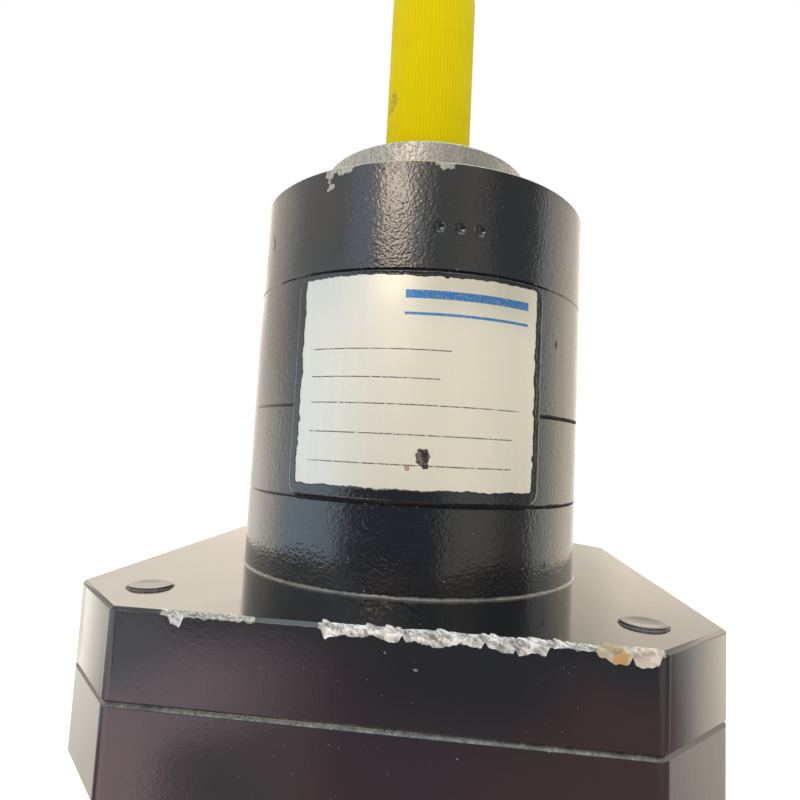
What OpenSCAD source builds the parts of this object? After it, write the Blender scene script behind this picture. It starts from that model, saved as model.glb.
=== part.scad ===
// Servo gear motor: a one-stage planetary gearbox on an adapter plate and a square servo motor.
// The origin is the centre of the pilot's base, in the plane of the output mounting face.
// +Z runs up along the output shaft; the motor hangs below.

/* [Gearbox body] */
// Outside diameter of the four stacked rings
body_d = 80; // [78:0.5:92]
// Height of the output flange ring
flange_h = 22; // [21:0.5:30]
// Height of the ring that carries the rear output bearing
bearing_ring_h = 27; // [25:0.5:36]
// Height of the toothed ring
gear_ring_h = 18.5; // [16:0.5:28]
// Height of the input housing ring
input_ring_h = 17.2; // [16.6:0.2:24]
// Bevel on the outer edges of each ring
seam_bevel = 0.3; // [0.1:0.1:0.8]
// Diameter of the machined centring pilot
pilot_d = 52; // [48:0.5:56]
// Height of the pilot above the mounting face
pilot_h = 12; // [10:0.5:18]
// Hole circle of the four tapped mounting holes in the output face
mount_pcd = 66; // [64:0.5:68]
// Depth of the tapped mounting holes
mount_depth = 12; // [8:0.5:12]
// Tap drill diameter of the mounting holes
mount_hole_d = 5; // [4:0.1:5.2]

/* [Output shaft] */
// Diameter of the plain shaft end
shaft_d = 20; // [16:0.5:23]
// Length of the shaft end above the pilot
shaft_len = 50; // [36:1:60]
// Tap drill diameter of the thread in the shaft end
end_hole_d = 5; // [4:0.2:6]
// Depth of the thread in the shaft end
end_hole_depth = 16; // [10:1:24]
// Wall of the protective sleeve on the shaft
sleeve_wall = 1.05; // [0.8:0.05:1.2]
// How far the sleeve stands above the shaft end
sleeve_over = 2.6; // [1:0.2:6]
// Number of fine ribs along the sleeve
sleeve_ribs = 60; // [30:2:80]

/* [Gear train] */
// Gear module
gear_module = 0.6; // [0.54:0.01:0.61]
// Teeth on the sun pinion
sun_teeth = 12; // [12:3:15]
// Teeth on each planet gear
planet_teeth = 45; // [43:1:45]
// Number of planet gears
planet_count = 3; // [3:3]
// Pressure angle of the teeth
pressure_angle = 25; // [22:0.5:25]
// Diameter of the planet pins
pin_d = 6; // [5:0.5:7]
// Wall of the bronze bush on each pin
bush_wall = 1.5; // [1:0.1:2]
// Thickness of the thrust washers
washer_h = 0.5; // [0.3:0.1:0.8]
// Thickness of the carrier disc on the shaft
carrier_h = 4.5; // [4:0.25:5.5]
// Thickness of the carrier's rear plate
carrier_plate_h = 4; // [3.5:0.25:4.5]

/* [Bearings] */
// Bore of the front output bearing
front_bore = 25; // [24:0.5:27]
// Outside diameter of the front output bearing
front_od = 52; // [48:0.5:56]
// Width of the front output bearing
front_w = 15; // [12:0.5:15.5]
// Bore of the rear output bearing
rear_bore = 30; // [28:0.5:32]
// Outside diameter of the rear output bearing
rear_od = 62; // [56:0.5:63]
// Width of the rear output bearing
rear_w = 16; // [12:0.5:17]
// Bore of the clamp hub's bearing
hub_bore = 30; // [28:0.5:32]
// Outside diameter of the clamp hub's bearing
hub_od = 42; // [40:0.5:46]
// Width of the clamp hub's bearing
hub_w = 7; // [6:0.5:7.5]
// Bore of the motor's front bearing
drive_bore = 25; // [24:0.5:27]
// Outside diameter of the motor's front bearing
drive_od = 52; // [48:0.5:56]
// Width of the motor's front bearing
drive_w = 15; // [12:0.5:16]
// Bore of the motor's rear bearing
tail_bore = 17; // [15:0.5:19]
// Outside diameter of the motor's rear bearing
tail_od = 40; // [36:0.5:42]
// Width of the motor's rear bearing
tail_w = 12; // [10:0.5:13]

/* [Adapter plate] */
// Side of the square adapter plate and motor flange
plate_side = 116.5; // [110:0.5:124]
// Thickness of the adapter plate
plate_h = 15; // [13.5:0.5:20]
// Leg of the chamfer at the plate's corners
plate_cut = 15; // [8:0.5:18]
// Radius that rounds the plate's upright edges
plate_round = 3; // [1:0.5:5]
// Bevel along the plate's top and bottom edges
plate_bevel = 0.6; // [0.3:0.1:1.2]
// Bevel along the joint between the plate and the motor
seam_edge = 0.5; // [0.2:0.1:1]
// Hole circle of the screws that join motor and plate
motor_pcd = 125; // [122:0.5:130]
// Diameter of those screws
motor_screw_d = 8; // [6:0.5:8]
// How far the screw ends stand above the plate
screw_proud = 0.5; // [0.1:0.1:1.5]
// Radius that rounds the rim of a screw end
screw_edge = 0.35; // [0.1:0.05:0.8]
// Depth of the dish in a screw end
screw_dish = 0.15; // [0.05:0.05:0.6]
// Depth of the countersink round a screw end
screw_sink = 0.35; // [0.1:0.05:0.8]
// Diameter of the motor's centring pilot
motor_pilot_d = 95; // [90:0.5:98]
// Diameter of the access hole to the clamp screw
access_d = 8; // [6:0.5:8.5]

/* [Clamp hub] */
// Outside diameter of the clamp hub
clamp_d = 45; // [43:0.5:46]
// Width of the slit in the clamp hub
slit_w = 1.5; // [1:0.1:2.5]
// Distance of the clamp screw from the hub's axis
clamp_offset = 14.5; // [14.5:0.1:15]

/* [Motor] */
// Diameter of the motor shaft in the clamp hub
motor_shaft_d = 19; // [14:0.5:19.5]
// Length of the motor shaft above the motor's flange
motor_shaft_len = 27.4; // [22:0.2:27.8]
// Thickness of the motor's flange
motor_flange_h = 16; // [14:0.5:20]
// Side of the motor's housing
housing_side = 100; // [98:0.5:106]
// Leg of the chamfer at the housing's corners
housing_cut = 22; // [21:0.5:24]
// Length of the motor's housing
housing_len = 110; // [106:1:140]
// Least wall between the housing's bore and its flats
housing_wall = 5; // [4:0.25:5.5]
// Length of the stator's iron
stack_len = 75; // [50:1:78]
// Number of stator slots
slot_count = 12; // [6:3:18]
// Diameter of the rotor's iron
rotor_d = 56; // [48:0.5:57]
// Thickness of the rotor magnets
magnet_h = 3; // [2:0.25:3.5]
// Number of rotor poles
pole_count = 8; // [6:2:10]
// Gap between magnets and stator
air_gap = 1.5; // [0.8:0.1:2]
// Height of the bearing shield at the motor's rear
shield_h = 14; // [13:0.5:18]
// Height of the rear cover over the encoder
cover_h = 42; // [34:1:60]
// Wall of the rear cover
cover_wall = 3; // [2:0.25:4]

/* [Type plate] */
// Width of the blank foil along the rings
label_w = 54.5; // [40:0.5:60]
// Height of the blank foil
label_h = 44.5; // [30:0.5:45]
// Thickness of the foil
label_t = 0.2; // [0.1:0.05:0.4]
// Turn of the foil's middle from the plate's front face
label_turn = 5; // [-15:1:15]

/* [Connectors] */
// Diameter of the two angled sockets
socket_d = 22; // [18:0.5:23]
// Reach of each socket from its swivel axis
socket_reach = 30; // [26:1:32]
// Height of the power socket below the motor flange
power_drop = 30; // [28:1:34]
// Distance between the two swivel axes
socket_pitch = 60; // [58:1:66]

/* [Hidden] */
$fn = 64;

eps = 0.01;
root2 = sqrt(2);

// Clearances between pieces that move on each other
run_gap = 0.05;
flank_gap = 0.02;
end_gap = 0.15;
lift_gap = 0.3;
free_gap = 1.2;

// Levels of the rings and casings, from the output face down
body_r = body_d / 2;
z_flange = -flange_h;
z_bearing_ring = z_flange - bearing_ring_h;
z_gear_ring = z_bearing_ring - gear_ring_h;
z_input_ring = z_gear_ring - input_ring_h;
z_plate = z_input_ring - plate_h;
z_motor_flange = z_plate - motor_flange_h;
z_housing = z_motor_flange - housing_len;
z_shield = z_housing - shield_h;
z_cover = z_shield - cover_h;

// Output shaft, its seal and its bearings
pilot_r = pilot_d / 2;
shaft_r = shaft_d / 2;
z_shaft_end = pilot_h + shaft_len;
shaft_chamfer = 1;
front_wall = 4;
z_front = -front_wall - front_w;
seal_w = 6.7;
seal_r = front_bore / 2 + 7.5;
z_seal = pilot_h - 0.3 - seal_w;
throat_r = seal_r - 2;
snap_w = 1.5;
snap_depth = 0.9;
z_rear = z_bearing_ring + 4;
spacer_r = front_bore / 2 + 5.5;
z_step = (z_front + z_rear + rear_w) / 2;
spigot_wall = 4;
sleeve_bore_r = shaft_r + 0.15;
sleeve_r = sleeve_bore_r + sleeve_wall;
rib_depth = 0.25;

// Gear sizes
ring_teeth = sun_teeth + 2 * planet_teeth;
sun_pitch_r = gear_module * sun_teeth / 2;
planet_pitch_r = gear_module * planet_teeth / 2;
ring_pitch_r = gear_module * ring_teeth / 2;
addendum = gear_module;
dedendum = 1.25 * gear_module;
centre_r = sun_pitch_r + planet_pitch_r;
planet_tip_r = planet_pitch_r + addendum;
ring_tip_r = ring_pitch_r - addendum;
ring_root_r = ring_pitch_r + dedendum;
index_step = 360 / (sun_teeth + ring_teeth);

// Carrier and planets
carrier_r = ring_tip_r - free_gap;
z_carrier_top = z_bearing_ring + 1.8;
z_carrier = z_carrier_top - carrier_h;
z_carrier_plate_top = z_gear_ring + 2.5;
z_carrier_plate = z_carrier_plate_top - carrier_plate_h;
pin_r = pin_d / 2;
bush_r = pin_r + bush_wall;
washer_r = bush_r + 2;
z_planet_top = z_carrier - washer_h - end_gap;
z_planet = z_carrier_plate_top + washer_h + end_gap;
pillar_r = carrier_r - 0.4;
pillar_depth = 8.4;
pillar_screw_r = pillar_r - pillar_depth / 2;
m4_r = 2;
m4_head_r = 3.5;
m4_head_h = 4;
low_head_h = 2.2;

// Rings that locate one housing ring in the next
register_in_r = ring_root_r + 0.25;
register_r = register_in_r + 0.8;
register_h = 1.4;
tie_r = body_r - 5;
tie_count = 6;
tie_drill_r = 1.65;
tie_thread = 9;

// Clamp hub and input housing
hub_neck_r = hub_bore / 2;
z_hub_bearing_top = z_gear_ring - 3.5;
z_hub_bearing = z_hub_bearing_top - hub_w;
hub_snap_w = 1.2;
z_hub_neck_top = z_hub_bearing_top + 0.5;
z_hub_head = z_hub_bearing - hub_snap_w - 1;
z_hub_nose = z_carrier_plate_top - 1;
hub_nose_r = 7.5;
carrier_bore_r = hub_nose_r + 1.5;
z_hub = z_plate + 2.1;
clamp_r = clamp_d / 2;
hub_room_r = clamp_r + free_gap + 0.3;
motor_shaft_r = motor_shaft_d / 2;
z_motor_shaft_end = z_plate + motor_shaft_len;
z_hub_floor = z_motor_shaft_end + 0.2;
stem_r = 3.2;
z_clamp_screw = z_input_ring - plate_h * 0.42;
m5_r = 2.5;
m5_head_r = 4.25;
m5_head_h = 5;
head_gap = 0.3;

// Adapter plate and motor flange
plate_half = plate_side / 2;
recess_h = 3.5;
motor_pilot_h = 3;
motor_hole_at = motor_pcd / 2 / root2;
adapter_turn = 15;
adapter_r = body_r - 9;
adapter_count = 4;
adapter_thread = 9;
plug_head_h = 1.5;
plug_len = 7;

// Motor
housing_half = housing_side / 2;
housing_bore_r = housing_half - housing_wall;
housing_round = 2;
z_drive_top = z_plate - 7;
z_drive = z_drive_top - drive_w;
drive_boss_r = drive_od / 2 + 5;
seat_r = drive_bore / 2 + 2;
z_stack_mid = (z_motor_flange + z_housing) / 2;
rotor_r = rotor_d / 2;
magnet_r = rotor_r + magnet_h;
bore_r = magnet_r + air_gap;
rotor_len = stack_len + 4;
turn_gap = 1.5;
winding_gap = 1;
shield_spigot = 2;
turn_h = (housing_len - stack_len) / 2 - turn_gap - winding_gap - shield_spigot;
tooth_tip = 1.5;
yoke = 3;
slot_depth = housing_bore_r - bore_r - tooth_tip - yoke;
z_tail_top = z_housing + 4;
z_tail = z_tail_top - tail_w;
tail_boss_r = tail_od / 2 + 5;
spring_h = 1;
z_tail_floor = z_tail - spring_h;
stub_r = 5;
tie_bolt_at = (2 * housing_half - housing_cut) / 2 - 3.3;
tie_bolt_thread = 10;
encoder_h = 17;
disc_drop = 6;
stub_len = 10;
z_encoder = z_shield - encoder_h;
z_disc = z_shield - disc_drop;
z_stub = z_shield - stub_len;
encoder_r = 22;
disc_margin = 6;
encoder_screw_r = 1.5;
encoder_screw_at = encoder_r + 2.5;
ear_r = 4;
ear_h = 2;
post_r = 4.5;
post_at = housing_half - cover_wall - post_r + 0.5;
cover_floor = 4;

// Connectors
base_side = socket_d + 4;
base_h = 8;
spigot_r = socket_d / 2 - 3;
spigot_h = 5;
elbow_r = socket_d / 2 + 1;
elbow_h = socket_d + 3;
y_base = housing_half + base_h;
y_elbow = y_base + lift_gap;
y_socket = y_elbow + elbow_h / 2;
mouth_wall = 1.5;
mouth_depth = 6;
nut_drop = 9;
cap_wall = 1.2;
cap_h = 10;
z_power = z_motor_flange - power_drop;
z_signal = z_power - socket_pitch;

// Colours
paint = [0.11, 0.115, 0.13];
bare = [0.66, 0.65, 0.63];
steel = [0.55, 0.56, 0.58];
dark_steel = [0.32, 0.33, 0.35];
yellow = [0.83, 0.78, 0.03];
bronze = [0.66, 0.47, 0.24];
copper = [0.72, 0.42, 0.22];
foil = [0.82, 0.80, 0.75];
rubber = [0.16, 0.13, 0.11];

function polar(r, a) = [r * cos(a), r * sin(a)];
function turned(p, a) = [p[0] * cos(a) - p[1] * sin(a), p[0] * sin(a) + p[1] * cos(a)];

// Angle in degrees that an involute sweeps while its pressure angle grows to a
function involute(a) = tan(a) * 180 / PI - a;

// Half of the angle that a tooth takes up at radius r
function tooth_half(r, base_r, half) =
    half + involute(pressure_angle) - involute(acos(min(1, base_r / r)));

function flank_radii(base_r, r0, r1, steps) =
    concat(r0 < base_r ? [r0] : [],
           [for (j = [0:steps]) max(base_r, r0) + (r1 - max(base_r, r0)) * j / steps]);

// Outline of a gear whose first tooth points along +X
function gear_outline(teeth, pitch_r, r0, r1, half, steps) =
    let (base_r = pitch_r * cos(pressure_angle),
         radii = flank_radii(base_r, r0, r1, steps),
         last = len(radii) - 1)
    [for (i = [0:teeth - 1]) let (mid = i * 360 / teeth)
        each concat(
            [for (j = [0:last]) polar(radii[j], mid - tooth_half(radii[j], base_r, half))],
            [for (j = [last:-1:0]) polar(radii[j], mid + tooth_half(radii[j], base_r, half))])];

function flank_angle(pitch_r) = flank_gap / pitch_r * 180 / PI;

// Place of planet k, where it meshes with the sun and the ring at once
function planet_angle(k) = round(k * (sun_teeth + ring_teeth) / planet_count) * index_step;
function planet_phase(k) = planet_angle(k) * (1 - ring_teeth / planet_teeth);
function pillar_angle(k) = (planet_angle(k) + (k + 1 < planet_count ? planet_angle(k + 1) : 360)) / 2;

// Ball bearing proportions
function race_mid(bore, od) = (bore + od) / 4;
function ball_r(bore, od) = 0.15 * (od - bore);
function ball_count(bore, od) =
    floor(0.62 * 180 / asin(ball_r(bore, od) / race_mid(bore, od)));

module at_z(z) {
    translate([0, 0, z]) children();
}

// A cylinder between two levels
module rod(r, z0, z1) {
    at_z(z0) cylinder(r = r, h = z1 - z0);
}

// A ring between two levels
module tube(r_out, r_in, z0, z1) {
    difference() {
        rod(r_out, z0, z1);
        rod(r_in, z0 - eps, z1 + eps);
    }
}

// A solid disc with a bevel on both outer edges
module bevelled_disc(r, z0, z1, b) {
    rotate_extrude()
        polygon([[0, z0], [r - b, z0], [r, z0 + b], [r, z1 - b], [r - b, z1], [0, z1]]);
}

module around(count, r, start = 0) {
    for (i = [0:count - 1])
        rotate([0, 0, start + i * 360 / count]) translate([r, 0, 0]) children();
}

module at_corners(d) {
    for (sx = [-1, 1], sy = [-1, 1])
        translate([sx * d, sy * d, 0]) children();
}

// Square with chamfered corners and rounded upright edges
module cut_square(half, cut, r) {
    diag = (2 * half - cut) / root2;
    inner = root2 * (diag - r) - (half - r);
    centres = [[half - r, inner], [inner, half - r]];
    points = [for (q = [0:3]) for (k = [0:1]) for (s = [0:1])
        turned(centres[k] + polar(r, 45 * (k + s)), 90 * q)];
    polygon(points);
    for (q = [0:3], k = [0:1])
        translate(turned(centres[k], 90 * q)) circle(r);
}

module cut_block(half, cut, r, z0, z1) {
    at_z(z0) linear_extrude(z1 - z0) cut_square(half, cut, r);
}

// Wedges that bevel the eight straight edges of such a block at one level
module edge_bevels(half, cut, z, b) {
    for (k = [0:7])
        rotate([0, 0, 45 * k])
            translate([k % 2 == 0 ? half : (2 * half - cut) / root2, 0, z])
                rotate([0, 45, 0]) cube([b * root2, 2 * half, b * root2], center = true);
}

module race_groove(bore, od, mid) {
    at_z(mid) rotate_extrude() translate([race_mid(bore, od), 0])
        circle(ball_r(bore, od) + run_gap);
}

module outer_race(bore, od, z, w) {
    color(steel) difference() {
        tube(od / 2, race_mid(bore, od) + 0.45 * ball_r(bore, od), z, z + w);
        race_groove(bore, od, z + w / 2);
    }
}

module inner_race(bore, od, z, w) {
    color(steel) difference() {
        tube(race_mid(bore, od) - 0.45 * ball_r(bore, od), bore / 2, z, z + w);
        race_groove(bore, od, z + w / 2);
    }
}

// Balls with the cage band that keeps them apart
module balls_and_cage(bore, od, z, w) {
    mid_r = race_mid(bore, od);
    br = ball_r(bore, od);
    color(bronze) {
        at_z(z + w / 2) around(ball_count(bore, od), mid_r) sphere(br);
        tube(mid_r + 0.3 * br, mid_r - 0.3 * br, z + w / 2 - 0.5 * br, z + w / 2 + 0.5 * br);
    }
}

// Socket screw: the head sits above z, the shank runs down from it by len
module socket_screw(r, head_r, head_h, len, key_r) {
    difference() {
        union() {
            rod(head_r, 0, head_h);
            rod(r, -len, eps);
        }
        at_z(head_h / 2) cylinder(r = key_r, h = head_h, $fn = 6);
    }
}

// Ribbed tube that protects the shaft end
module shaft_sleeve() {
    outline = [for (i = [0:2 * sleeve_ribs - 1])
        polar(sleeve_r - (i % 2) * rib_depth, i * 180 / sleeve_ribs)];
    color(yellow) difference() {
        at_z(pilot_h + run_gap) linear_extrude(shaft_len + sleeve_over) polygon(outline);
        rod(sleeve_bore_r, pilot_h - eps, z_shaft_end + sleeve_over + 1);
    }
}

// Shaft, bearing seats and carrier in one forging, with pillars between the planets
module output_shaft() {
    journal_r = front_bore / 2;
    countersink = 0.7;
    color(steel) difference() {
        union() {
            rotate_extrude() polygon([
                [0, z_shaft_end], [shaft_r - shaft_chamfer, z_shaft_end],
                [shaft_r, z_shaft_end - shaft_chamfer], [shaft_r, pilot_h],
                [journal_r, pilot_h], [journal_r, z_step], [rear_bore / 2, z_step],
                [rear_bore / 2, z_rear], [rear_bore / 2 + 4, z_rear],
                [rear_bore / 2 + 4, z_carrier_top], [carrier_r, z_carrier_top],
                [carrier_r, z_carrier], [0, z_carrier]]);
            at_z(z_carrier_plate_top) linear_extrude(z_carrier - z_carrier_plate_top + eps)
                carrier_pillars();
        }
        rod(end_hole_d / 2, z_shaft_end - end_hole_depth, z_shaft_end + eps);
        at_z(z_shaft_end - countersink)
            cylinder(r1 = end_hole_d / 2, r2 = end_hole_d / 2 + countersink + eps, h = countersink + eps);
        for (k = [0:planet_count - 1])
            rotate([0, 0, planet_angle(k)]) translate([centre_r, 0, 0])
                rod(pin_r, z_carrier - eps, z_carrier_top + eps);
        for (k = [0:planet_count - 1])
            rotate([0, 0, pillar_angle(k)]) translate([pillar_screw_r, 0, 0])
                rod(m4_r, z_carrier_plate_top - eps, z_carrier + 2);
    }
}

module carrier_pillars() {
    difference() {
        circle(pillar_r);
        circle(pillar_r - pillar_depth);
        for (k = [0:planet_count - 1])
            rotate([0, 0, planet_angle(k)]) translate([centre_r, 0])
                circle(planet_tip_r + free_gap);
    }
}

module shaft_seal() {
    lip_r = front_bore / 2 + run_gap;
    web = 1.2;
    color(rubber) rotate_extrude() polygon([
        [seal_r, z_seal], [seal_r, z_seal + seal_w], [lip_r + 2.4, z_seal + seal_w],
        [lip_r + 0.6, z_seal + seal_w - web], [lip_r + 2.2, z_seal + seal_w - 2 * web],
        [lip_r, z_seal + seal_w / 3], [lip_r + 1.6, z_seal + 1],
        [lip_r + 3, z_seal + 1], [lip_r + 3.4, z_seal + seal_w - 2 * web],
        [seal_r - web, z_seal + seal_w - 2 * web], [seal_r - web, z_seal]]);
}

module output_flange() {
    lip = 0.5;
    color(paint) difference() {
        union() {
            bevelled_disc(body_r, z_flange, 0, seam_bevel);
            rotate_extrude() polygon([
                [0, -eps], [pilot_r, -eps], [pilot_r, pilot_h - lip],
                [pilot_r - lip, pilot_h], [0, pilot_h]]);
        }
        rod(seal_r, z_seal, pilot_h + eps);
        rod(throat_r, z_front, pilot_h);
        rod(front_od / 2, z_flange - eps, -front_wall);
        around(4, mount_pcd / 2, 45) rod(mount_hole_d / 2, -mount_depth, eps);
        around(tie_count, tie_r) rod(tie_drill_r, z_flange - eps, z_flange + tie_thread);
    }
}

module front_bearing_outer() {
    outer_race(front_bore, front_od, z_front, front_w);
}

module front_bearing_inner() {
    inner_race(front_bore, front_od, z_front, front_w);
}

module front_bearing_balls() {
    balls_and_cage(front_bore, front_od, z_front, front_w);
}

// Stepped sleeve that keeps the two inner races apart
module bearing_spacer() {
    color(dark_steel) rotate_extrude() polygon([
        [front_bore / 2, z_front], [spacer_r, z_front], [spacer_r, z_rear + rear_w],
        [rear_bore / 2, z_rear + rear_w], [rear_bore / 2, z_step], [front_bore / 2, z_step]]);
}

module bearing_ring() {
    bore = front_od / 2 - spigot_wall;
    color(paint) difference() {
        union() {
            bevelled_disc(body_r, z_bearing_ring, z_flange, seam_bevel);
            rod(front_od / 2, z_flange - eps, z_front);
        }
        rod(bore, z_bearing_ring - 1, z_front + 1);
        rod(rear_od / 2, z_bearing_ring - 1, z_rear + rear_w);
        rod(rear_od / 2 + snap_depth, z_rear - snap_w, z_rear);
        rod(register_r, z_bearing_ring - 1, z_bearing_ring + register_h + 0.1);
        around(tie_count, tie_r) rod(m4_r + head_gap, z_bearing_ring - 1, z_flange + 1);
    }
}

module rear_bearing_outer() {
    outer_race(rear_bore, rear_od, z_rear, rear_w);
}

module rear_bearing_inner() {
    inner_race(rear_bore, rear_od, z_rear, rear_w);
}

module rear_bearing_balls() {
    balls_and_cage(rear_bore, rear_od, z_rear, rear_w);
}

// Open ring with a gap and an eyed end on each side of it
module snap_ring(r_out, width, z, h) {
    gap = 10;
    eye_r = 1.5;
    color(dark_steel) difference() {
        union() {
            tube(r_out, r_out - width, z, z + h);
            for (s = [-1, 1])
                rotate([0, 0, s * 16]) translate([r_out - width, 0, 0]) rod(eye_r, z, z + h);
        }
        translate([r_out - width, 0, z + h / 2]) cube([3 * width, gap, 2 * h], center = true);
        for (s = [-1, 1])
            rotate([0, 0, s * 16]) translate([r_out - width, 0, 0])
                rod(eye_r / 2, z - 1, z + h + 1);
    }
}

module snap_rings() {
    snap_ring(rear_od / 2 + snap_depth, 2.2, z_rear - snap_w, snap_w);
    snap_ring(hub_od / 2 + snap_depth, 2, z_hub_bearing - hub_snap_w, hub_snap_w);
}

module ring_gear() {
    cut = gear_outline(ring_teeth, ring_pitch_r, ring_tip_r, ring_root_r,
                       90 / ring_teeth + flank_angle(ring_pitch_r), 2);
    color(paint) difference() {
        union() {
            bevelled_disc(body_r, z_gear_ring, z_bearing_ring, seam_bevel);
            rod(register_r, z_bearing_ring - eps, z_bearing_ring + register_h);
        }
        at_z(z_gear_ring - 1) linear_extrude(gear_ring_h + 4) polygon(cut);
        rod(register_in_r, z_bearing_ring - 1, z_bearing_ring + 3);
        rod(register_r, z_gear_ring - 1, z_gear_ring + register_h + 0.1);
        around(tie_count, tie_r) rod(m4_r + head_gap, z_gear_ring - 1, z_bearing_ring + 1);
    }
}

module planet_gear(k) {
    outline = gear_outline(planet_teeth, planet_pitch_r, planet_pitch_r - dedendum,
                           planet_tip_r, 90 / planet_teeth - flank_angle(planet_pitch_r), 2);
    color(dark_steel) rotate([0, 0, planet_angle(k)]) translate([centre_r, 0, 0])
        rotate([0, 0, planet_phase(k) - planet_angle(k)]) difference() {
            at_z(z_planet) linear_extrude(z_planet_top - z_planet) polygon(outline);
            rod(bush_r + run_gap, z_planet - 1, z_planet_top + 1);
        }
}

module planet_gear_1() {
    planet_gear(0);
}

module planet_gear_2() {
    planet_gear(1);
}

module planet_gear_3() {
    planet_gear(2);
}

module at_planets() {
    for (k = [0:planet_count - 1])
        rotate([0, 0, planet_angle(k)]) translate([centre_r, 0, 0]) children();
}

module planet_pins() {
    chamfer = 0.4;
    color(steel) at_planets() bevelled_disc(pin_r, z_carrier_plate, z_carrier_top, chamfer);
}

module planet_bushes() {
    color(bronze) at_planets()
        tube(bush_r, pin_r, z_carrier_plate_top + washer_h, z_carrier - washer_h);
}

module thrust_washers() {
    color(bronze) at_planets() {
        tube(washer_r, pin_r, z_carrier - washer_h, z_carrier);
        tube(washer_r, pin_r, z_carrier_plate_top, z_carrier_plate_top + washer_h);
    }
}

module carrier_plate() {
    color(steel) difference() {
        bevelled_disc(pillar_r, z_carrier_plate, z_carrier_plate_top, 0.3);
        rod(carrier_bore_r, z_carrier_plate - 1, z_carrier_plate_top + 1);
        at_planets() rod(pin_r, z_carrier_plate - 1, z_carrier_plate_top + 1);
        for (k = [0:planet_count - 1])
            rotate([0, 0, pillar_angle(k)]) translate([pillar_screw_r, 0, 0]) {
                rod(m4_r, z_carrier_plate - 1, z_carrier_plate_top + 1);
                rod(m4_head_r + head_gap, z_carrier_plate - 1, z_carrier_plate + low_head_h + 0.1);
            }
    }
}

module carrier_screws() {
    len = z_carrier + 2 - (z_carrier_plate + low_head_h);
    color(dark_steel)
        for (k = [0:planet_count - 1])
            rotate([0, 0, pillar_angle(k)])
                translate([pillar_screw_r, 0, z_carrier_plate + low_head_h + 0.1])
                    mirror([0, 0, 1]) socket_screw(m4_r, m4_head_r, low_head_h, len - 0.3, 1.45);
}

module sun_gear() {
    outline = gear_outline(sun_teeth, sun_pitch_r, sun_pitch_r - dedendum,
                           sun_pitch_r + addendum, 90 / sun_teeth - flank_angle(sun_pitch_r), 4);
    color(dark_steel) {
        rotate([0, 0, planet_teeth % 2 == 0 ? 180 / sun_teeth : 0])
            at_z(z_planet - 0.5) linear_extrude(z_planet_top - z_planet + 0.5) polygon(outline);
        rod(stem_r, z_hub_floor + 0.2, z_planet - 0.5 + eps);
    }
}

// Split hub that grips the motor shaft and carries the sun pinion
module clamp_hub() {
    screw_half = sqrt(pow(clamp_r, 2) - pow(clamp_offset, 2));
    color(dark_steel) difference() {
        rotate_extrude() polygon([
            [0, z_hub_nose], [hub_nose_r, z_hub_nose], [hub_nose_r, z_hub_neck_top],
            [hub_neck_r, z_hub_neck_top], [hub_neck_r, z_hub_bearing],
            [hub_neck_r + 2.5, z_hub_bearing], [hub_neck_r + 2.5, z_hub_head],
            [clamp_r, z_hub_head], [clamp_r, z_hub], [0, z_hub]]);
        rod(stem_r, z_hub_floor - 1, z_hub_nose + 1);
        rod(motor_shaft_r, z_hub - 1, z_hub_floor);
        translate([0, -slit_w / 2, z_hub - 1]) cube([clamp_r + 1, slit_w, z_hub_head - z_hub]);
        translate([clamp_offset, 0, z_clamp_screw]) rotate([-90, 0, 0]) {
            rod(m5_r, -screw_half * 0.75, screw_half);
            rod(m5_head_r + head_gap, screw_half * 0.38, clamp_r);
        }
    }
}

module clamp_screw() {
    screw_half = sqrt(pow(clamp_r, 2) - pow(clamp_offset, 2));
    color(steel) translate([clamp_offset, 0, z_clamp_screw]) rotate([-90, 0, 0])
        at_z(screw_half * 0.38) socket_screw(m5_r, m5_head_r, m5_head_h, screw_half * 1.1, 2.3);
}

module hub_bearing_outer() {
    outer_race(hub_bore, hub_od, z_hub_bearing, hub_w);
}

module hub_bearing_inner() {
    inner_race(hub_bore, hub_od, z_hub_bearing, hub_w);
}

module hub_bearing_balls() {
    balls_and_cage(hub_bore, hub_od, z_hub_bearing, hub_w);
}

module input_housing() {
    color(paint) difference() {
        union() {
            bevelled_disc(body_r, z_input_ring, z_gear_ring, seam_bevel);
            rod(register_r, z_gear_ring - eps, z_gear_ring + register_h);
        }
        rod(pillar_r + free_gap, z_hub_bearing_top + 0.6, z_gear_ring + register_h + 1);
        rod(hub_od / 2 - 2, z_hub_bearing, z_gear_ring);
        rod(hub_od / 2, z_input_ring - 1, z_hub_bearing_top);
        rod(hub_od / 2 + snap_depth, z_hub_bearing - hub_snap_w, z_hub_bearing);
        rod(hub_room_r, z_input_ring - 1, z_hub_head + 0.6);
        around(tie_count, tie_r) {
            rod(m4_r + head_gap, z_input_ring - 1, z_gear_ring + 1);
            rod(m4_head_r + head_gap, z_input_ring - 1, z_input_ring + m4_head_h + 1);
        }
        around(adapter_count, adapter_r, adapter_turn)
            rod(m5_r, z_input_ring - 1, z_input_ring + adapter_thread);
    }
}

// Six long screws that clamp the rings together from below
module ring_screws() {
    z_head = z_input_ring + m4_head_h + 1;
    color(dark_steel) around(tie_count, tie_r) at_z(z_head) mirror([0, 0, 1])
        socket_screw(tie_drill_r, m4_head_r, m4_head_h, z_flange + tie_thread - 0.5 - z_head, 1.7);
}

module adapter_screws() {
    z_head = z_plate + recess_h + m5_head_h + head_gap;
    color(dark_steel) around(adapter_count, adapter_r, adapter_turn) at_z(z_head) mirror([0, 0, 1])
        socket_screw(m5_r, m5_head_r, m5_head_h, z_input_ring + adapter_thread - 0.5 - z_head, 2.3);
}

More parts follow.
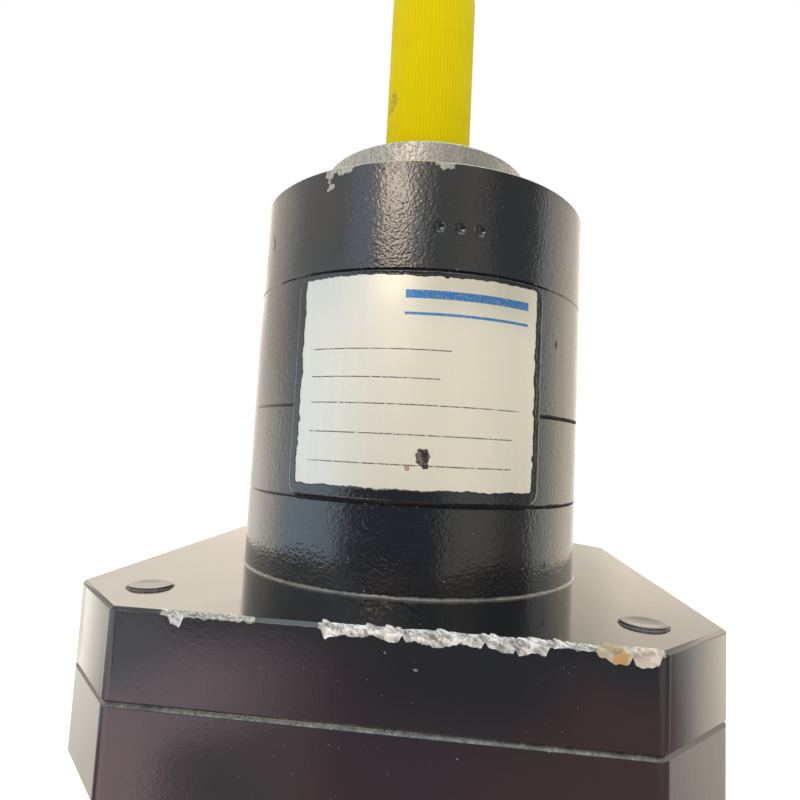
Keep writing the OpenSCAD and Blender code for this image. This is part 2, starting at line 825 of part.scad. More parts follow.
module adapter_plate() {
    screw_r = motor_screw_d / 2;
    color(paint) difference() {
        cut_block(plate_half, plate_cut, plate_round, z_plate, z_input_ring);
        edge_bevels(plate_half, plate_cut, z_input_ring, plate_bevel);
        edge_bevels(plate_half, plate_cut, z_plate, seam_edge);
        rod(hub_room_r, z_plate - 1, z_input_ring + 1);
        rod(motor_pilot_d / 2, z_plate - 1, z_plate + recess_h);
        at_corners(motor_hole_at) {
            rod(screw_r, z_plate - 1, z_input_ring + 1);
            at_z(z_input_ring - screw_sink)
                cylinder(r1 = screw_r, r2 = screw_r + screw_sink + eps, h = screw_sink + eps);
        }
        around(adapter_count, adapter_r, adapter_turn) {
            rod(m5_r + 0.25, z_plate, z_input_ring + 1);
            rod(m5_head_r + head_gap, z_plate, z_plate + recess_h + m5_head_h + head_gap);
        }
        translate([clamp_offset, 0, z_clamp_screw]) rotate([-90, 0, 0])
            rod(access_d / 2, 0, plate_half + 1);
    }
}

// Push-in plug that closes the access hole at the back
module access_plug() {
    color(rubber) translate([clamp_offset, plate_half, z_clamp_screw]) rotate([-90, 0, 0]) {
        rod(access_d / 2, -plug_len, eps);
        bevelled_disc(access_d / 2 + 1, 0, plug_head_h, 0.3);
    }
}

// Blank foil wrapped round the two middle rings
module type_plate() {
    sweep = label_w / body_r * 90 / PI;
    half_w = body_r * sin(sweep);
    z_mid = (z_flange + z_gear_ring) / 2;
    corner = 3;
    color(foil) rotate([0, 0, label_turn]) intersection() {
        tube(body_r + label_t, body_r, z_mid - label_h / 2, z_mid + label_h / 2);
        translate([0, 0, z_mid]) rotate([90, 0, 0]) linear_extrude(body_r + 1) union() {
            square([2 * half_w, label_h - 2 * corner], center = true);
            square([2 * half_w - 2 * corner, label_h], center = true);
            for (sx = [-1, 1], sy = [-1, 1])
                translate([sx * (half_w - corner), sy * (label_h / 2 - corner)]) circle(corner);
        }
    }
}

// Socket screws from the motor side; their dished ends show above the plate
module motor_screws() {
    screw_r = motor_screw_d / 2;
    len = z_input_ring + screw_proud - z_motor_flange;
    dish_r = screw_r * 0.75;
    rim = [for (turn = [0:18:90]) [
        screw_r - screw_edge * (1 - cos(turn)), len - screw_edge * (1 - sin(turn))]];
    dish = [for (share = [1:-0.25:0]) [dish_r * share, len - screw_dish * (1 - share * share)]];
    color(dark_steel) at_corners(motor_hole_at) difference() {
        union() {
            rod(1.6 * screw_r, z_motor_flange - motor_screw_d, z_motor_flange);
            at_z(z_motor_flange - eps) rotate_extrude() polygon(concat([[0, 0], [screw_r, 0]], rim, dish));
        }
        at_z(z_motor_flange - motor_screw_d - 1)
            cylinder(r = screw_r * 0.86, h = screw_r + 1, $fn = 6);
    }
}

module motor_flange() {
    screw_r = motor_screw_d / 2;
    color(paint) difference() {
        union() {
            difference() {
                cut_block(plate_half, plate_cut, plate_round, z_motor_flange, z_plate);
                edge_bevels(plate_half, plate_cut, z_plate, seam_edge);
                edge_bevels(plate_half, plate_cut, z_motor_flange, plate_bevel);
            }
            rod(motor_pilot_d / 2, z_plate - eps, z_plate + motor_pilot_h);
            rod(drive_boss_r, z_drive - 1, z_motor_flange + eps);
        }
        rod(hub_room_r, z_plate, z_plate + motor_pilot_h + 1);
        rod(drive_bore / 2 + 1, z_drive, z_plate + 1);
        rod(drive_od / 2, z_drive - 2, z_drive_top);
        at_corners(motor_hole_at) rod(screw_r + 0.5, z_motor_flange - 1, z_plate + 1);
        at_corners(tie_bolt_at) rod(m5_r, z_motor_flange - 1, z_motor_flange + tie_bolt_thread);
    }
}

module drive_bearing_outer() {
    outer_race(drive_bore, drive_od, z_drive, drive_w);
}

module drive_bearing_inner() {
    inner_race(drive_bore, drive_od, z_drive, drive_w);
}

module drive_bearing_balls() {
    balls_and_cage(drive_bore, drive_od, z_drive, drive_w);
}

module motor_shaft() {
    journal_r = drive_bore / 2;
    tail_r = tail_bore / 2;
    z_rotor = z_stack_mid - rotor_len / 2;
    color(steel) rotate_extrude() polygon([
        [0, z_motor_shaft_end], [motor_shaft_r - 1, z_motor_shaft_end],
        [motor_shaft_r, z_motor_shaft_end - 1], [motor_shaft_r, z_plate + 1],
        [journal_r, z_plate + 1], [journal_r, z_drive], [seat_r, z_drive],
        [seat_r, z_rotor], [tail_r + 2.5, z_rotor], [tail_r + 2.5, z_tail_top],
        [tail_r, z_tail_top], [tail_r, z_tail - 0.3], [stub_r, z_tail - 0.3],
        [stub_r, z_stub], [0, z_stub]]);
}

// Laminated core with holes that lighten it
module rotor_core() {
    hole_r = (rotor_r - seat_r) * 0.22;
    z0 = z_stack_mid - rotor_len / 2;
    color(dark_steel) difference() {
        tube(rotor_r, seat_r, z0, z0 + rotor_len);
        around(pole_count, (rotor_r + seat_r) / 2) rod(hole_r, z0 - 1, z0 + rotor_len + 1);
    }
}

module rotor_magnets() {
    z0 = z_stack_mid - rotor_len / 2;
    gap = 3;
    color([0.24, 0.24, 0.26]) difference() {
        tube(magnet_r, rotor_r, z0, z0 + rotor_len);
        around(pole_count, magnet_r, 180 / pole_count)
            translate([-magnet_h, -gap / 2, z0 - 1]) cube([2 * magnet_h, gap, rotor_len + 2]);
    }
}

// Slots of the stator, each open to the bore
module stator_slots(inset) {
    around(slot_count, bore_r) {
        w = 2 * PI * bore_r / slot_count * 0.5;
        translate([tooth_tip + inset, -w / 2 + inset])
            square([slot_depth - 2 * inset, w - 2 * inset]);
        if (inset == 0) translate([-1, -1]) square([tooth_tip + 2, 2]);
    }
}

module stator_core() {
    color([0.42, 0.42, 0.44])
        at_z(z_stack_mid - stack_len / 2) linear_extrude(stack_len) difference() {
            circle(housing_bore_r);
            circle(bore_r);
            stator_slots(0);
        }
}

// Copper in the slots, with the wound heads at both ends
module stator_windings() {
    inner = bore_r + tooth_tip + 0.5;
    outer = bore_r + tooth_tip + slot_depth - 0.5;
    round_r = (outer - inner) / 2;
    half = stack_len / 2 + turn_gap;
    color(copper) {
        at_z(z_stack_mid - half - 1) linear_extrude(2 * half + 2) stator_slots(0.3);
        for (s = [-1, 1])
            at_z(z_stack_mid + s * (half + turn_h / 2)) rotate_extrude() {
                translate([inner, -turn_h / 2]) square([outer - inner, turn_h - round_r * 0.5]);
                translate([inner + round_r * 0.5, -turn_h / 2]) square([outer - inner - round_r, turn_h]);
            }
    }
}

module motor_housing() {
    groove = 1.5;
    color(paint) difference() {
        cut_block(housing_half, housing_cut, housing_round, z_housing, z_motor_flange);
        rod(housing_bore_r, z_housing - 1, z_motor_flange + 1);
        at_corners(tie_bolt_at) rod(m5_r + head_gap, z_housing - 1, z_motor_flange + 1);
        for (q = [0:3], s = [-1, 1])
            rotate([0, 0, 90 * q]) translate([housing_half, s * (housing_half - housing_cut - 4), 0])
                rod(groove, z_housing - 1, z_motor_flange + 1);
    }
}

module tail_bearing_outer() {
    outer_race(tail_bore, tail_od, z_tail, tail_w);
}

module tail_bearing_inner() {
    inner_race(tail_bore, tail_od, z_tail, tail_w);
}

module tail_bearing_balls() {
    balls_and_cage(tail_bore, tail_od, z_tail, tail_w);
}

// Waved ring that preloads the rear bearing against its seat
module wave_spring() {
    steps = 48;
    waves = 3;
    leaf = 0.4;
    r_out = tail_od / 2 - 0.2;
    r_in = r_out - 2.4;
    rise = (spring_h - leaf) / 2;
    points = [for (i = [0:steps - 1]) let (a = i * 360 / steps, z = rise * (1 + cos(waves * a)))
        each [[r_in * cos(a), r_in * sin(a), z], [r_out * cos(a), r_out * sin(a), z],
              [r_out * cos(a), r_out * sin(a), z + leaf], [r_in * cos(a), r_in * sin(a), z + leaf]]];
    faces = [for (i = [0:steps - 1]) for (s = [0:3])
        let (a = 4 * i, b = 4 * ((i + 1) % steps), t = (s + 1) % 4)
            each [[a + s, a + t, b + t], [a + s, b + t, b + s]]];
    color(steel) at_z(z_tail_floor) polyhedron(points, faces);
}

module rear_shield() {
    hole_r = stub_r + 3;
    color(paint) difference() {
        union() {
            cut_block(housing_half, housing_cut, housing_round, z_shield, z_housing);
            rod(tail_boss_r, z_housing - eps, z_tail_top - 0.5);
            rod(housing_bore_r, z_housing - eps, z_housing + shield_spigot);
        }
        rod(tail_od / 2, z_tail_floor, z_tail_top + 1);
        rod(hole_r, z_shield - 1, z_tail_floor + 1);
        at_corners(tie_bolt_at) {
            rod(m5_r + head_gap, z_shield - 1, z_housing + shield_spigot + 1);
            rod(m5_head_r + head_gap, z_shield - 1, z_shield + m5_head_h + 0.5);
        }
        around(4, post_at) rod(m4_r, z_shield - 1, z_shield + 8);
        around(2, encoder_screw_at, 45) rod(encoder_screw_r, z_shield - 1, z_shield + 4);
    }
}

module motor_tie_bolts() {
    z_head = z_shield + m5_head_h + 0.5;
    color(dark_steel) at_corners(tie_bolt_at) at_z(z_head) mirror([0, 0, 1])
        socket_screw(m5_r, m5_head_r, m5_head_h,
                     z_motor_flange + tie_bolt_thread - 0.5 - z_head, 2.3);
}

// Encoder's graduated disc and its hub on the shaft stub
module encoder_disc() {
    color(steel) {
        tube(encoder_r - disc_margin, stub_r, z_disc - 1.2, z_disc);
        tube(stub_r + 2.2, stub_r, z_stub + 0.5, z_disc - 1);
    }
}

module encoder_body() {
    wall = 1.5;
    color([0.3, 0.31, 0.33]) difference() {
        union() {
            rod(encoder_r, z_encoder, z_shield);
            encoder_ears();
        }
        rod(encoder_r - wall, z_encoder + wall, z_shield + 1);
        around(2, encoder_screw_at, 45)
            rod(encoder_screw_r, z_shield - ear_h - 1, z_shield + 1);
    }
}

// Two ears that hold the encoder to the bearing shield
module encoder_ears() {
    around(2, encoder_screw_at, 45) rod(ear_r, z_shield - ear_h, z_shield);
}

module rear_cover() {
    color(paint) difference() {
        union() {
            difference() {
                cut_block(housing_half, housing_cut, housing_round, z_cover, z_shield);
                edge_bevels(housing_half, housing_cut, z_cover, 1.5);
                cut_block(housing_half - cover_wall, housing_cut, housing_round,
                          z_cover + cover_floor, z_shield + 1);
            }
            around(4, post_at) rod(post_r, z_cover + cover_floor - eps, z_shield);
        }
        around(4, post_at) {
            rod(m4_r, z_cover - 1, z_shield + 1);
            rod(m4_head_r + head_gap, z_cover - 1, z_cover + m4_head_h + 0.6);
        }
    }
}

module cover_screws() {
    z_head = z_cover + m4_head_h + 0.6;
    color(dark_steel) around(4, post_at) at_z(z_head) mirror([0, 0, 1])
        socket_screw(m4_r, m4_head_r, m4_head_h, z_shield + 7.5 - z_head, 1.7);
}

// Things that stand on the back of the housing, with +Z turned to point along +Y
module on_back(z, y = 0) {
    translate([0, y, z]) rotate([-90, 0, 0]) children();
}

module socket_base() {
    screw_at = base_side / 2 - 3;
    difference() {
        translate([-base_side / 2, -base_side / 2, housing_half])
            cube([base_side, base_side, base_h]);
        rod(spigot_r, y_base - spigot_h - 1, y_base + 1);
        for (sx = [-1, 1], sy = [-1, 1])
            translate([sx * screw_at, sy * screw_at, 0])
                rod(1.6, y_base - 1.5, y_base + 1);
    }
}

module socket_bases() {
    color(paint) for (z = [z_power, z_signal]) on_back(z) socket_base();
}

// Angled socket whose spigot turns in its base; the barrel points down at rest
module socket_body(z) {
    barrel_r = socket_d / 2 - 1;
    nut_r = socket_d / 2;
    color(bare) {
        on_back(z) {
            rod(spigot_r - run_gap, y_base - spigot_h, y_elbow + eps);
            bevelled_disc(elbow_r, y_elbow, y_elbow + elbow_h, 1.5);
        }
        translate([0, y_socket, z]) difference() {
            union() {
                rod(barrel_r, -socket_reach, 0);
                rod(nut_r, -socket_reach + nut_drop, -elbow_r - 1);
            }
            rod(barrel_r - mouth_wall, -socket_reach - 1, -socket_reach + mouth_depth);
        }
    }
}

module power_socket() {
    socket_body(z_power);
}

module signal_socket() {
    socket_body(z_signal);
}

// Push-on plastic cap that closes a socket's mouth
module socket_cap(z) {
    barrel_r = socket_d / 2 - 1;
    mouth = z - socket_reach;
    color(yellow) translate([0, y_socket, 0]) {
        difference() {
            rod(barrel_r + cap_wall, mouth - cap_wall, mouth + cap_h - cap_wall);
            rod(barrel_r, mouth, mouth + cap_h);
        }
        rod(barrel_r - mouth_wall, mouth - eps, mouth + mouth_depth);
    }
}

module power_cap() {
    socket_cap(z_power);
}

module signal_cap() {
    socket_cap(z_signal);
}

shaft_sleeve();
output_shaft();
shaft_seal();
output_flange();
front_bearing_outer();
front_bearing_inner();
front_bearing_balls();
bearing_spacer();
bearing_ring();
rear_bearing_outer();
rear_bearing_inner();
rear_bearing_balls();
snap_rings();
ring_gear();
planet_gear_1();
planet_gear_2();
planet_gear_3();
planet_pins();
planet_bushes();
thrust_washers();
carrier_plate();
carrier_screws();
sun_gear();
clamp_hub();
clamp_screw();
hub_bearing_outer();
hub_bearing_inner();
hub_bearing_balls();
input_housing();
ring_screws();
adapter_screws();
adapter_plate();
access_plug();
type_plate();
motor_screws();
motor_flange();
drive_bearing_outer();
drive_bearing_inner();
drive_bearing_balls();
motor_shaft();
rotor_core();
rotor_magnets();
stator_core();
stator_windings();
motor_housing();
tail_bearing_outer();
tail_bearing_inner();
tail_bearing_balls();
wave_spring();
rear_shield();
motor_tie_bolts();
encoder_disc();
encoder_body();
rear_cover();
cover_screws();
socket_bases();
power_socket();
signal_socket();
power_cap();
signal_cap();
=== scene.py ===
"""Servo gear motor: the finish of every piece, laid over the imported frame."""

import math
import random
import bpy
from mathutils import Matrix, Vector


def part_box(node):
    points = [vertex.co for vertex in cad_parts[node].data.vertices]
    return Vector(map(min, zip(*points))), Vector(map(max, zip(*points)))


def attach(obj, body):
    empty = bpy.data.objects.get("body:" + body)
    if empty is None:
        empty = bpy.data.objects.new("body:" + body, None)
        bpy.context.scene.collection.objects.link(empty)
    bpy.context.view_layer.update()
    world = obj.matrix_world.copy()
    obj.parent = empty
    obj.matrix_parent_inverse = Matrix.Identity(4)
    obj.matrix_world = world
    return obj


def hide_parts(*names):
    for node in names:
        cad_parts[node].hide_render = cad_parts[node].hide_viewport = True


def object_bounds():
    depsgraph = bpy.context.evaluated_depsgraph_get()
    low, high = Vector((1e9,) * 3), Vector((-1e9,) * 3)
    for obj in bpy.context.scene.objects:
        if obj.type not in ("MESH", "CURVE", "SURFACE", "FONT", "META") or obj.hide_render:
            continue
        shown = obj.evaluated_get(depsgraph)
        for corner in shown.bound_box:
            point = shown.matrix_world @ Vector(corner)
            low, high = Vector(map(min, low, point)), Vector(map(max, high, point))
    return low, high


bl_info = {
    "name": "Servo Gear Motor Finish",
    "version": (1, 0, 0),
    "blender": (4, 5, 0),
    "location": "3D View > Sidebar > Gear Motor",
    "description": "Dresses a planetary gear motor in enamel, bare metal, plastic and foil",
    "category": "Object",
}

import bmesh
import bpy
from bpy.props import FloatProperty, FloatVectorProperty, IntProperty, PointerProperty
from mathutils import Matrix, Vector, noise

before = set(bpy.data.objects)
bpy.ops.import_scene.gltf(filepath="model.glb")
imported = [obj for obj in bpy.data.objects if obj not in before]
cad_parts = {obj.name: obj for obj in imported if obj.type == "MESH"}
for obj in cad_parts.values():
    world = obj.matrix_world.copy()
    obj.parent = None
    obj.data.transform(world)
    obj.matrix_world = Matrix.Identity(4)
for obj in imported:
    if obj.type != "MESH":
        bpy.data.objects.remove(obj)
CAD_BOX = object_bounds()

MM = 0.001
X, Y, Z = 0, 1, 2


def low(node, axis):
    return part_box(node)[0][axis]


def high(node, axis):
    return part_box(node)[1][axis]


# Sizes and levels that the frame gives, in metres
BODY_R = high("bearing_ring", X)
PILOT_R = 26 * MM
RING_LEVELS = [low(node, Z) for node in ("output_flange", "bearing_ring", "ring_gear")]
PLATE_TOP = low("input_housing", Z)
PLATE_FOOT = low("adapter_plate", Z)
PLATE_HALF = high("adapter_plate", X)
SLEEVE_LOW, SLEEVE_HIGH = low("shaft_sleeve", Z), high("shaft_sleeve", Z)
SLEEVE_R = high("shaft_sleeve", X)
FOIL_R = BODY_R + 0.2 * MM
FOIL_LOW, FOIL_HIGH = low("type_plate", Z), high("type_plate", Z)
FOIL_LEFT = -math.acos(low("type_plate", X) / FOIL_R)
FOIL_RIGHT = -math.acos(high("type_plate", X) / FOIL_R)
FOIL_MID = (FOIL_LEFT + FOIL_RIGHT) / 2
FLOOR_LEVEL = CAD_BOX[0][Z]

# The camera that matches the reference view, which is 800 pixels square
CAMERA_PLACE = (11.68 * MM, -149.98 * MM, -57.28 * MM)
CAMERA_TURN = (94.962, -2.877, 5.709)
SENSOR_WIDTH = 36.0
LENS = 26.21

CASING_NODES = ("motor_housing", "rear_shield", "rear_cover", "socket_bases")


# Node building


class Signal:
    """An output of a node; arithmetic on it adds math nodes to its graph."""

    def __init__(self, graph, socket):
        self.graph, self.socket = graph, socket

    def __add__(self, other):
        return self.graph.calc("ADD", self, other)

    def __sub__(self, other):
        return self.graph.calc("SUBTRACT", self, other)

    def __rsub__(self, other):
        return self.graph.calc("SUBTRACT", other, self)

    def __mul__(self, other):
        return self.graph.calc("MULTIPLY", self, other)

    def __abs__(self):
        return self.graph.calc("ABSOLUTE", self)

    def __or__(self, other):
        """The larger of the two, so that either mask shows."""
        return self.graph.calc("MAXIMUM", self, other)

    def ramp(self, start, end, first=0.0, last=1.0):
        """From start to end the value becomes first to last, with soft ends."""
        limits = {"Value": self, "From Min": start, "From Max": end, "To Min": first, "To Max": last}
        return self.graph.add("ShaderNodeMapRange", limits, interpolation_type="SMOOTHSTEP")

    def stripe(self, middle, half, soft):
        """1 within half of the middle, with soft edges."""
        return abs(self - middle).ramp(half + soft, half)


def rgba(colour):
    return colour if isinstance(colour, Signal) else (*colour[:3], 1.0)


def union(masks):
    """The largest of the masks."""
    result = masks[0]
    for mask in masks[1:]:
        result = result | mask
    return result


class Graph:
    """A node tree, the point that its textures read, and short ways to add nodes."""

    def __init__(self, tree):
        self.tree = tree
        self.point = None

    def feed(self, socket, value):
        """Link a signal to the input, or store a plain value in it."""
        if isinstance(value, Signal):
            self.tree.links.new(value.socket, socket)
        else:
            socket.default_value = value

    def place(self, kind, inputs=None, **properties):
        """A node with its properties set and its inputs linked or filled."""
        node = self.tree.nodes.new(kind)
        for key, value in properties.items():
            setattr(node, key, value)
        for key, value in (inputs or {}).items():
            self.feed(node.inputs[key], value)
        return node

    def add(self, kind, inputs=None, output=0, **properties):
        """Place a node; its output of that name or number."""
        return Signal(self, self.place(kind, inputs, **properties).outputs[output])

    def calc(self, operation, *values):
        return self.add("ShaderNodeMath", dict(enumerate(values)), operation=operation)

    def vector(self, operation, *values):
        """Result of one vector math node; a length or a dot product is a number."""
        output = "Value" if operation in ("LENGTH", "DOT_PRODUCT") else "Vector"
        return self.add("ShaderNodeVectorMath", dict(enumerate(values)), output, operation=operation)

    def blend(self, kind, label, factor, first, second):
        node = self.place("ShaderNodeMix", data_type=kind)
        sockets = {socket.identifier: socket for socket in (*node.inputs, *node.outputs)}
        for name, value in (("Factor_Float", factor), (f"A_{label}", first), (f"B_{label}", second)):
            self.feed(sockets[name], value)
        return Signal(self, sockets[f"Result_{label}"])

    def mix(self, factor, first, second):
        """The first colour where the factor is 0, and the second where it is 1."""
        return self.blend("RGBA", "Color", factor, rgba(first), rgba(second))

    def value(self, factor, first, second):
        """The first number where the factor is 0, and the second where it is 1."""
        return self.blend("FLOAT", "Float", factor, first, second)

    def split(self, vector=None):
        """The three parts of the vector, or else of the point."""
        node = self.place("ShaderNodeSeparateXYZ", {"Vector": vector or self.point})
        return [Signal(self, socket) for socket in node.outputs]

    def level_vector(self, x, y):
        return self.add("ShaderNodeCombineXYZ", {"X": x, "Y": y})

    def spread(self, centre, reach):
        """Distance from the centre, where 1 is the reach along each axis."""
        away = self.vector("SUBTRACT", self.point, centre)
        return self.vector("LENGTH", self.vector("DIVIDE", away, reach))

    def waves(self, scale, point=None, **more):
        """Noise of that scale; more holds other inputs of its node."""
        inputs = {"Vector": point or self.point, "Scale": scale, **more}
        return self.add("ShaderNodeTexNoise", inputs, "Fac")

    def noise(self, size, detail=2.0, stretch=(1, 1, 1), point=None):
        """Noise with features about size metres across, drawn out where stretch is under 1."""
        mapped = self.add("ShaderNodeMapping", {"Vector": point or self.point, "Scale": stretch})
        return self.waves(1 / size, mapped, Detail=detail)

    def shared(self, name, **inputs):
        """Place a shared effect with its own values; its output."""
        group = bpy.data.node_groups.get(name) or GROUP_BUILDERS[name]()
        node = self.place("ShaderNodeGroup", node_tree=group)
        for key, value in (("Vector", self.point), *inputs.items()):
            self.feed(node.inputs[key], value)
        return Signal(self, node.outputs[0])

    def spots(self, radius, places, tear):
        """Mask of ragged spots, each (azimuth, level, width, height) in degrees and millimetres."""
        return union([
            self.shared("Ragged Spot", Centre=cylinder_point(radius, azimuth, level), Tear=tear,
                        Reach=(width / 2 * MM, width / 2 * MM, height / 2 * MM))
            for azimuth, level, width, height in places])


class Paint(Graph):
    """A material with a Principled shader, in object coordinates."""

    def __init__(self, name, shine=None):
        self.material = bpy.data.materials.new(name)
        self.material.use_nodes = True
        super().__init__(self.material.node_tree)
        self.tree.nodes.clear()
        self.shader = self.place("ShaderNodeBsdfPrincipled")
        if shine is not None:
            self.shader.inputs["Specular IOR Level"].default_value = shine
        output = self.place("ShaderNodeOutputMaterial")
        self.tree.links.new(self.shader.outputs["BSDF"], output.inputs["Surface"])
        self.point = self.add("ShaderNodeTexCoord", output="Object")

    def finish(self, colour, roughness, metallic=0.0, height=None, depth=0.0):
        """Feed the shader; depth is how many metres the height stands for. The material."""
        self.feed(self.shader.inputs["Base Color"], colour)
        self.feed(self.shader.inputs["Roughness"], roughness)
        self.feed(self.shader.inputs["Metallic"], metallic)
        if height is not None:
            bump = self.add("ShaderNodeBump", {"Height": height, "Distance": depth})
            self.feed(self.shader.inputs["Normal"], bump)
        return self.material


SOCKET_KINDS = {int: "NodeSocketInt", float: "NodeSocketFloat", tuple: "NodeSocketVector",
                type(None): "NodeSocketMaterial"}


class Group(Graph):
    """A shader or geometry group, with its named inputs and one output."""

    def __init__(self, name, inputs, output):
        solid = output == "Geometry"
        super().__init__(bpy.data.node_groups.new(name, "GeometryNodeTree" if solid else "ShaderNodeTree"))
        for label, default in inputs.items():
            socket = self.tree.interface.new_socket(
                name=label, in_out="INPUT", socket_type=SOCKET_KINDS[type(default)])
            if default is not None:
                socket.default_value = default
        self.tree.interface.new_socket(name=output, in_out="OUTPUT",
                                       socket_type="NodeSocketGeometry" if solid else "NodeSocketFloat")
        outputs = self.place("NodeGroupInput").outputs
        self.given = {label: Signal(self, outputs[label]) for label in inputs}
        self.point = self.given.get("Vector")
        self.result = self.place("NodeGroupOutput").inputs[0]

    def close(self, value):
        """Feed the output; the finished tree."""
        self.feed(self.result, value)
        return self.tree

    def close_solid(self, geometry):
        """End in real geometry with the given material; the finished tree."""
        real = self.add("GeometryNodeRealizeInstances", {"Geometry": geometry})
        return self.close(self.add("GeometryNodeSetMaterial",
                                   {"Geometry": real, "Material": self.given["Material"]}))


# Shared shader effects, each built once


def orange_peel():
    """Soft waves of sprayed enamel."""
    group = Group("Orange Peel", {"Vector": (0.0, 0.0, 0.0), "Scale": 900.0}, "Height")
    scale = group.given["Scale"]
    wide = group.waves(scale, Detail=1.5, Distortion=0.6)
    cells = group.add("ShaderNodeTexVoronoi", {"Vector": group.point, "Scale": scale * 1.25},
                      "Distance", feature="SMOOTH_F1")
    fine = group.waves(scale * 2.4, Detail=1.0)
    peel = group.value(0.2, group.value(0.42, wide, cells), fine)
    strength = group.waves(scale * 0.12).ramp(0.35, 0.65, 0.7, 1.15)
    return group.close(peel * strength)


def dust_specks():
    """Separate small specks; a larger share gives more of them."""
    group = Group("Dust Specks", {"Vector": (0.0, 0.0, 0.0), "Scale": 400.0, "Share": 0.1}, "Mask")
    cells = group.place("ShaderNodeTexVoronoi", {"Vector": group.point, "Scale": group.given["Scale"]})
    dot = Signal(group, cells.outputs["Distance"]).ramp(0.14, 0.06)
    tint = Signal(group, cells.outputs["Color"])
    picked = group.add("ShaderNodeSeparateColor", {"Color": tint}, "Red")
    return group.close(dot * group.calc("LESS_THAN", picked, group.given["Share"]))


def hair_scratches():
    """Thin crossing lines that come and go."""
    group = Group("Hair Scratches", {"Vector": (0.0, 0.0, 0.0), "Scale": 60.0}, "Mask")
    lines = []
    for turn, stretch in ((0.5, (1, 0.12, 1)), (2.2, (0.15, 1, 1)), (1.2, (1, 1, 0.1))):
        mapped = group.add("ShaderNodeMapping",
                           {"Vector": group.point, "Rotation": (turn, turn, turn), "Scale": stretch})
        wave = group.waves(group.given["Scale"], mapped, Detail=1.0)
        lines.append(abs(wave - 0.5).ramp(0.006, 0.001))
    return group.close(union(lines) * group.waves(group.given["Scale"]).ramp(0.54, 0.64))


def metal_grain():
    """Streaks and pits of machined metal, drawn out along Z."""
    group = Group("Metal Grain", {"Vector": (0.0, 0.0, 0.0), "Scale": 1500.0, "Stretch": 0.2}, "Height")
    stretch = group.add("ShaderNodeCombineXYZ", {"X": 1.0, "Y": 1.0, "Z": group.given["Stretch"]})
    drawn = group.vector("MULTIPLY", group.point, stretch)
    streaks = group.waves(group.given["Scale"], drawn, Detail=3.0)
    pits = group.add("ShaderNodeTexVoronoi",
                     {"Vector": group.point, "Scale": group.given["Scale"] * 0.8}, "Distance")
    return group.close(group.value(0.35, streaks, pits))


def ragged_spot():
    """One spot of a given centre and reach, with a torn rim."""
    group = Group("Ragged Spot", {"Vector": (0.0, 0.0, 0.0), "Centre": (0.0, 0.0, 0.0),
                                  "Reach": (0.001, 0.001, 0.001), "Tear": 0.5}, "Mask")
    distance = group.spread(group.given["Centre"], group.given["Reach"])
    shift = (group.waves(1300.0, Detail=3.0) - 0.5) * group.given["Tear"]
    return group.close((distance + shift).ramp(1.03, 0.97))


GROUP_BUILDERS = {
    "Orange Peel": orange_peel,
    "Dust Specks": dust_specks,
    "Hair Scratches": hair_scratches,
    "Metal Grain": metal_grain,
    "Ragged Spot": ragged_spot,
}


def cylinder_point(radius, azimuth, level):
    """The point at that azimuth in degrees and level in millimetres."""
    angle = math.radians(azimuth)
    return Vector((radius * math.cos(angle), radius * math.sin(angle), level * MM))


# Materials

# Azimuth, level, width and height of each spot where the flange ring has lost its enamel
RING_CHIPS = (
    (-108.8, 0.3, 6.4, 2.0), (-106.6, 0.2, 2.6, 1.5), (-109.6, -0.8, 3.0, 1.8), (-111.2, -1.0, 2.0, 1.9),
    (-113.6, -0.1, 3.6, 1.7), (-115.3, -0.9, 1.9, 2.9), (-115.4, -2.75, 0.8, 0.8),
    (-114.6, -4.0, 1.5, 1.4), (-115.5, -4.4, 0.7, 0.8), (-80.0, -0.2, 4.2, 2.6), (-100.0, 0.2, 2.0, 0.7),
    (-93.5, 0.2, 1.6, 0.7), (38.0, -0.4, 3.0, 1.8), (152.0, 0.1, 2.0, 1.2),
)
# Small dark nicks in the rings' enamel, two runs of paint, and the spots where the sleeve is rubbed
RING_NICKS = (
    (-143.0, -12.2, 0.6, 2.6), (-143.6, -10.4, 0.5, 1.4), (-38.3, -33.2, 0.7, 1.9),
    (-41.5, -79.0, 0.5, 1.4), (-62.0, -58.0, 0.5, 0.8), (96.0, -31.0, 0.9, 1.4),
)
PAINT_RUNS = ((-84.3, -11.8, 0.5, 6.6), (-83.6, -14.6, 0.6, 1.8))
SLEEVE_SCUFFS = ((-142.0, 33.5, 2.8, 4.4), (-148.0, 31.6, 2.4, 3.0), (40.0, 48.0, 3.0, 8.0))
# The hole through the foil, and a brown stain beside it
FOIL_HOLE = ((-82.9, -58.3, 2.7, 3.3), (-82.3, -59.9, 1.5, 1.4))
FOIL_STAIN = ((-86.9, -60.5, 1.0, 1.2),)
# Start, end, depth on the top face and depth on the front face of each chipped stretch, in millimetres
CHIPPED = (
    (-34.8, -19.4, 0.42, 0.42), (-33.8, -30.5, 0.42, 2.1), (-8.8, 4.6, 1.2, 1.9),
    (4.0, 17.2, 1.4, 2.2), (6.6, 8.2, 1.2, 3.2), (16.5, 22.0, 1.2, 1.8), (21.0, 26.8, 1.5, 2.4),
    (26.2, 33.4, 0.9, 1.0), (32.8, 38.9, 1.4, 2.5), (38.0, 43.1, 1.6, 2.6),
)
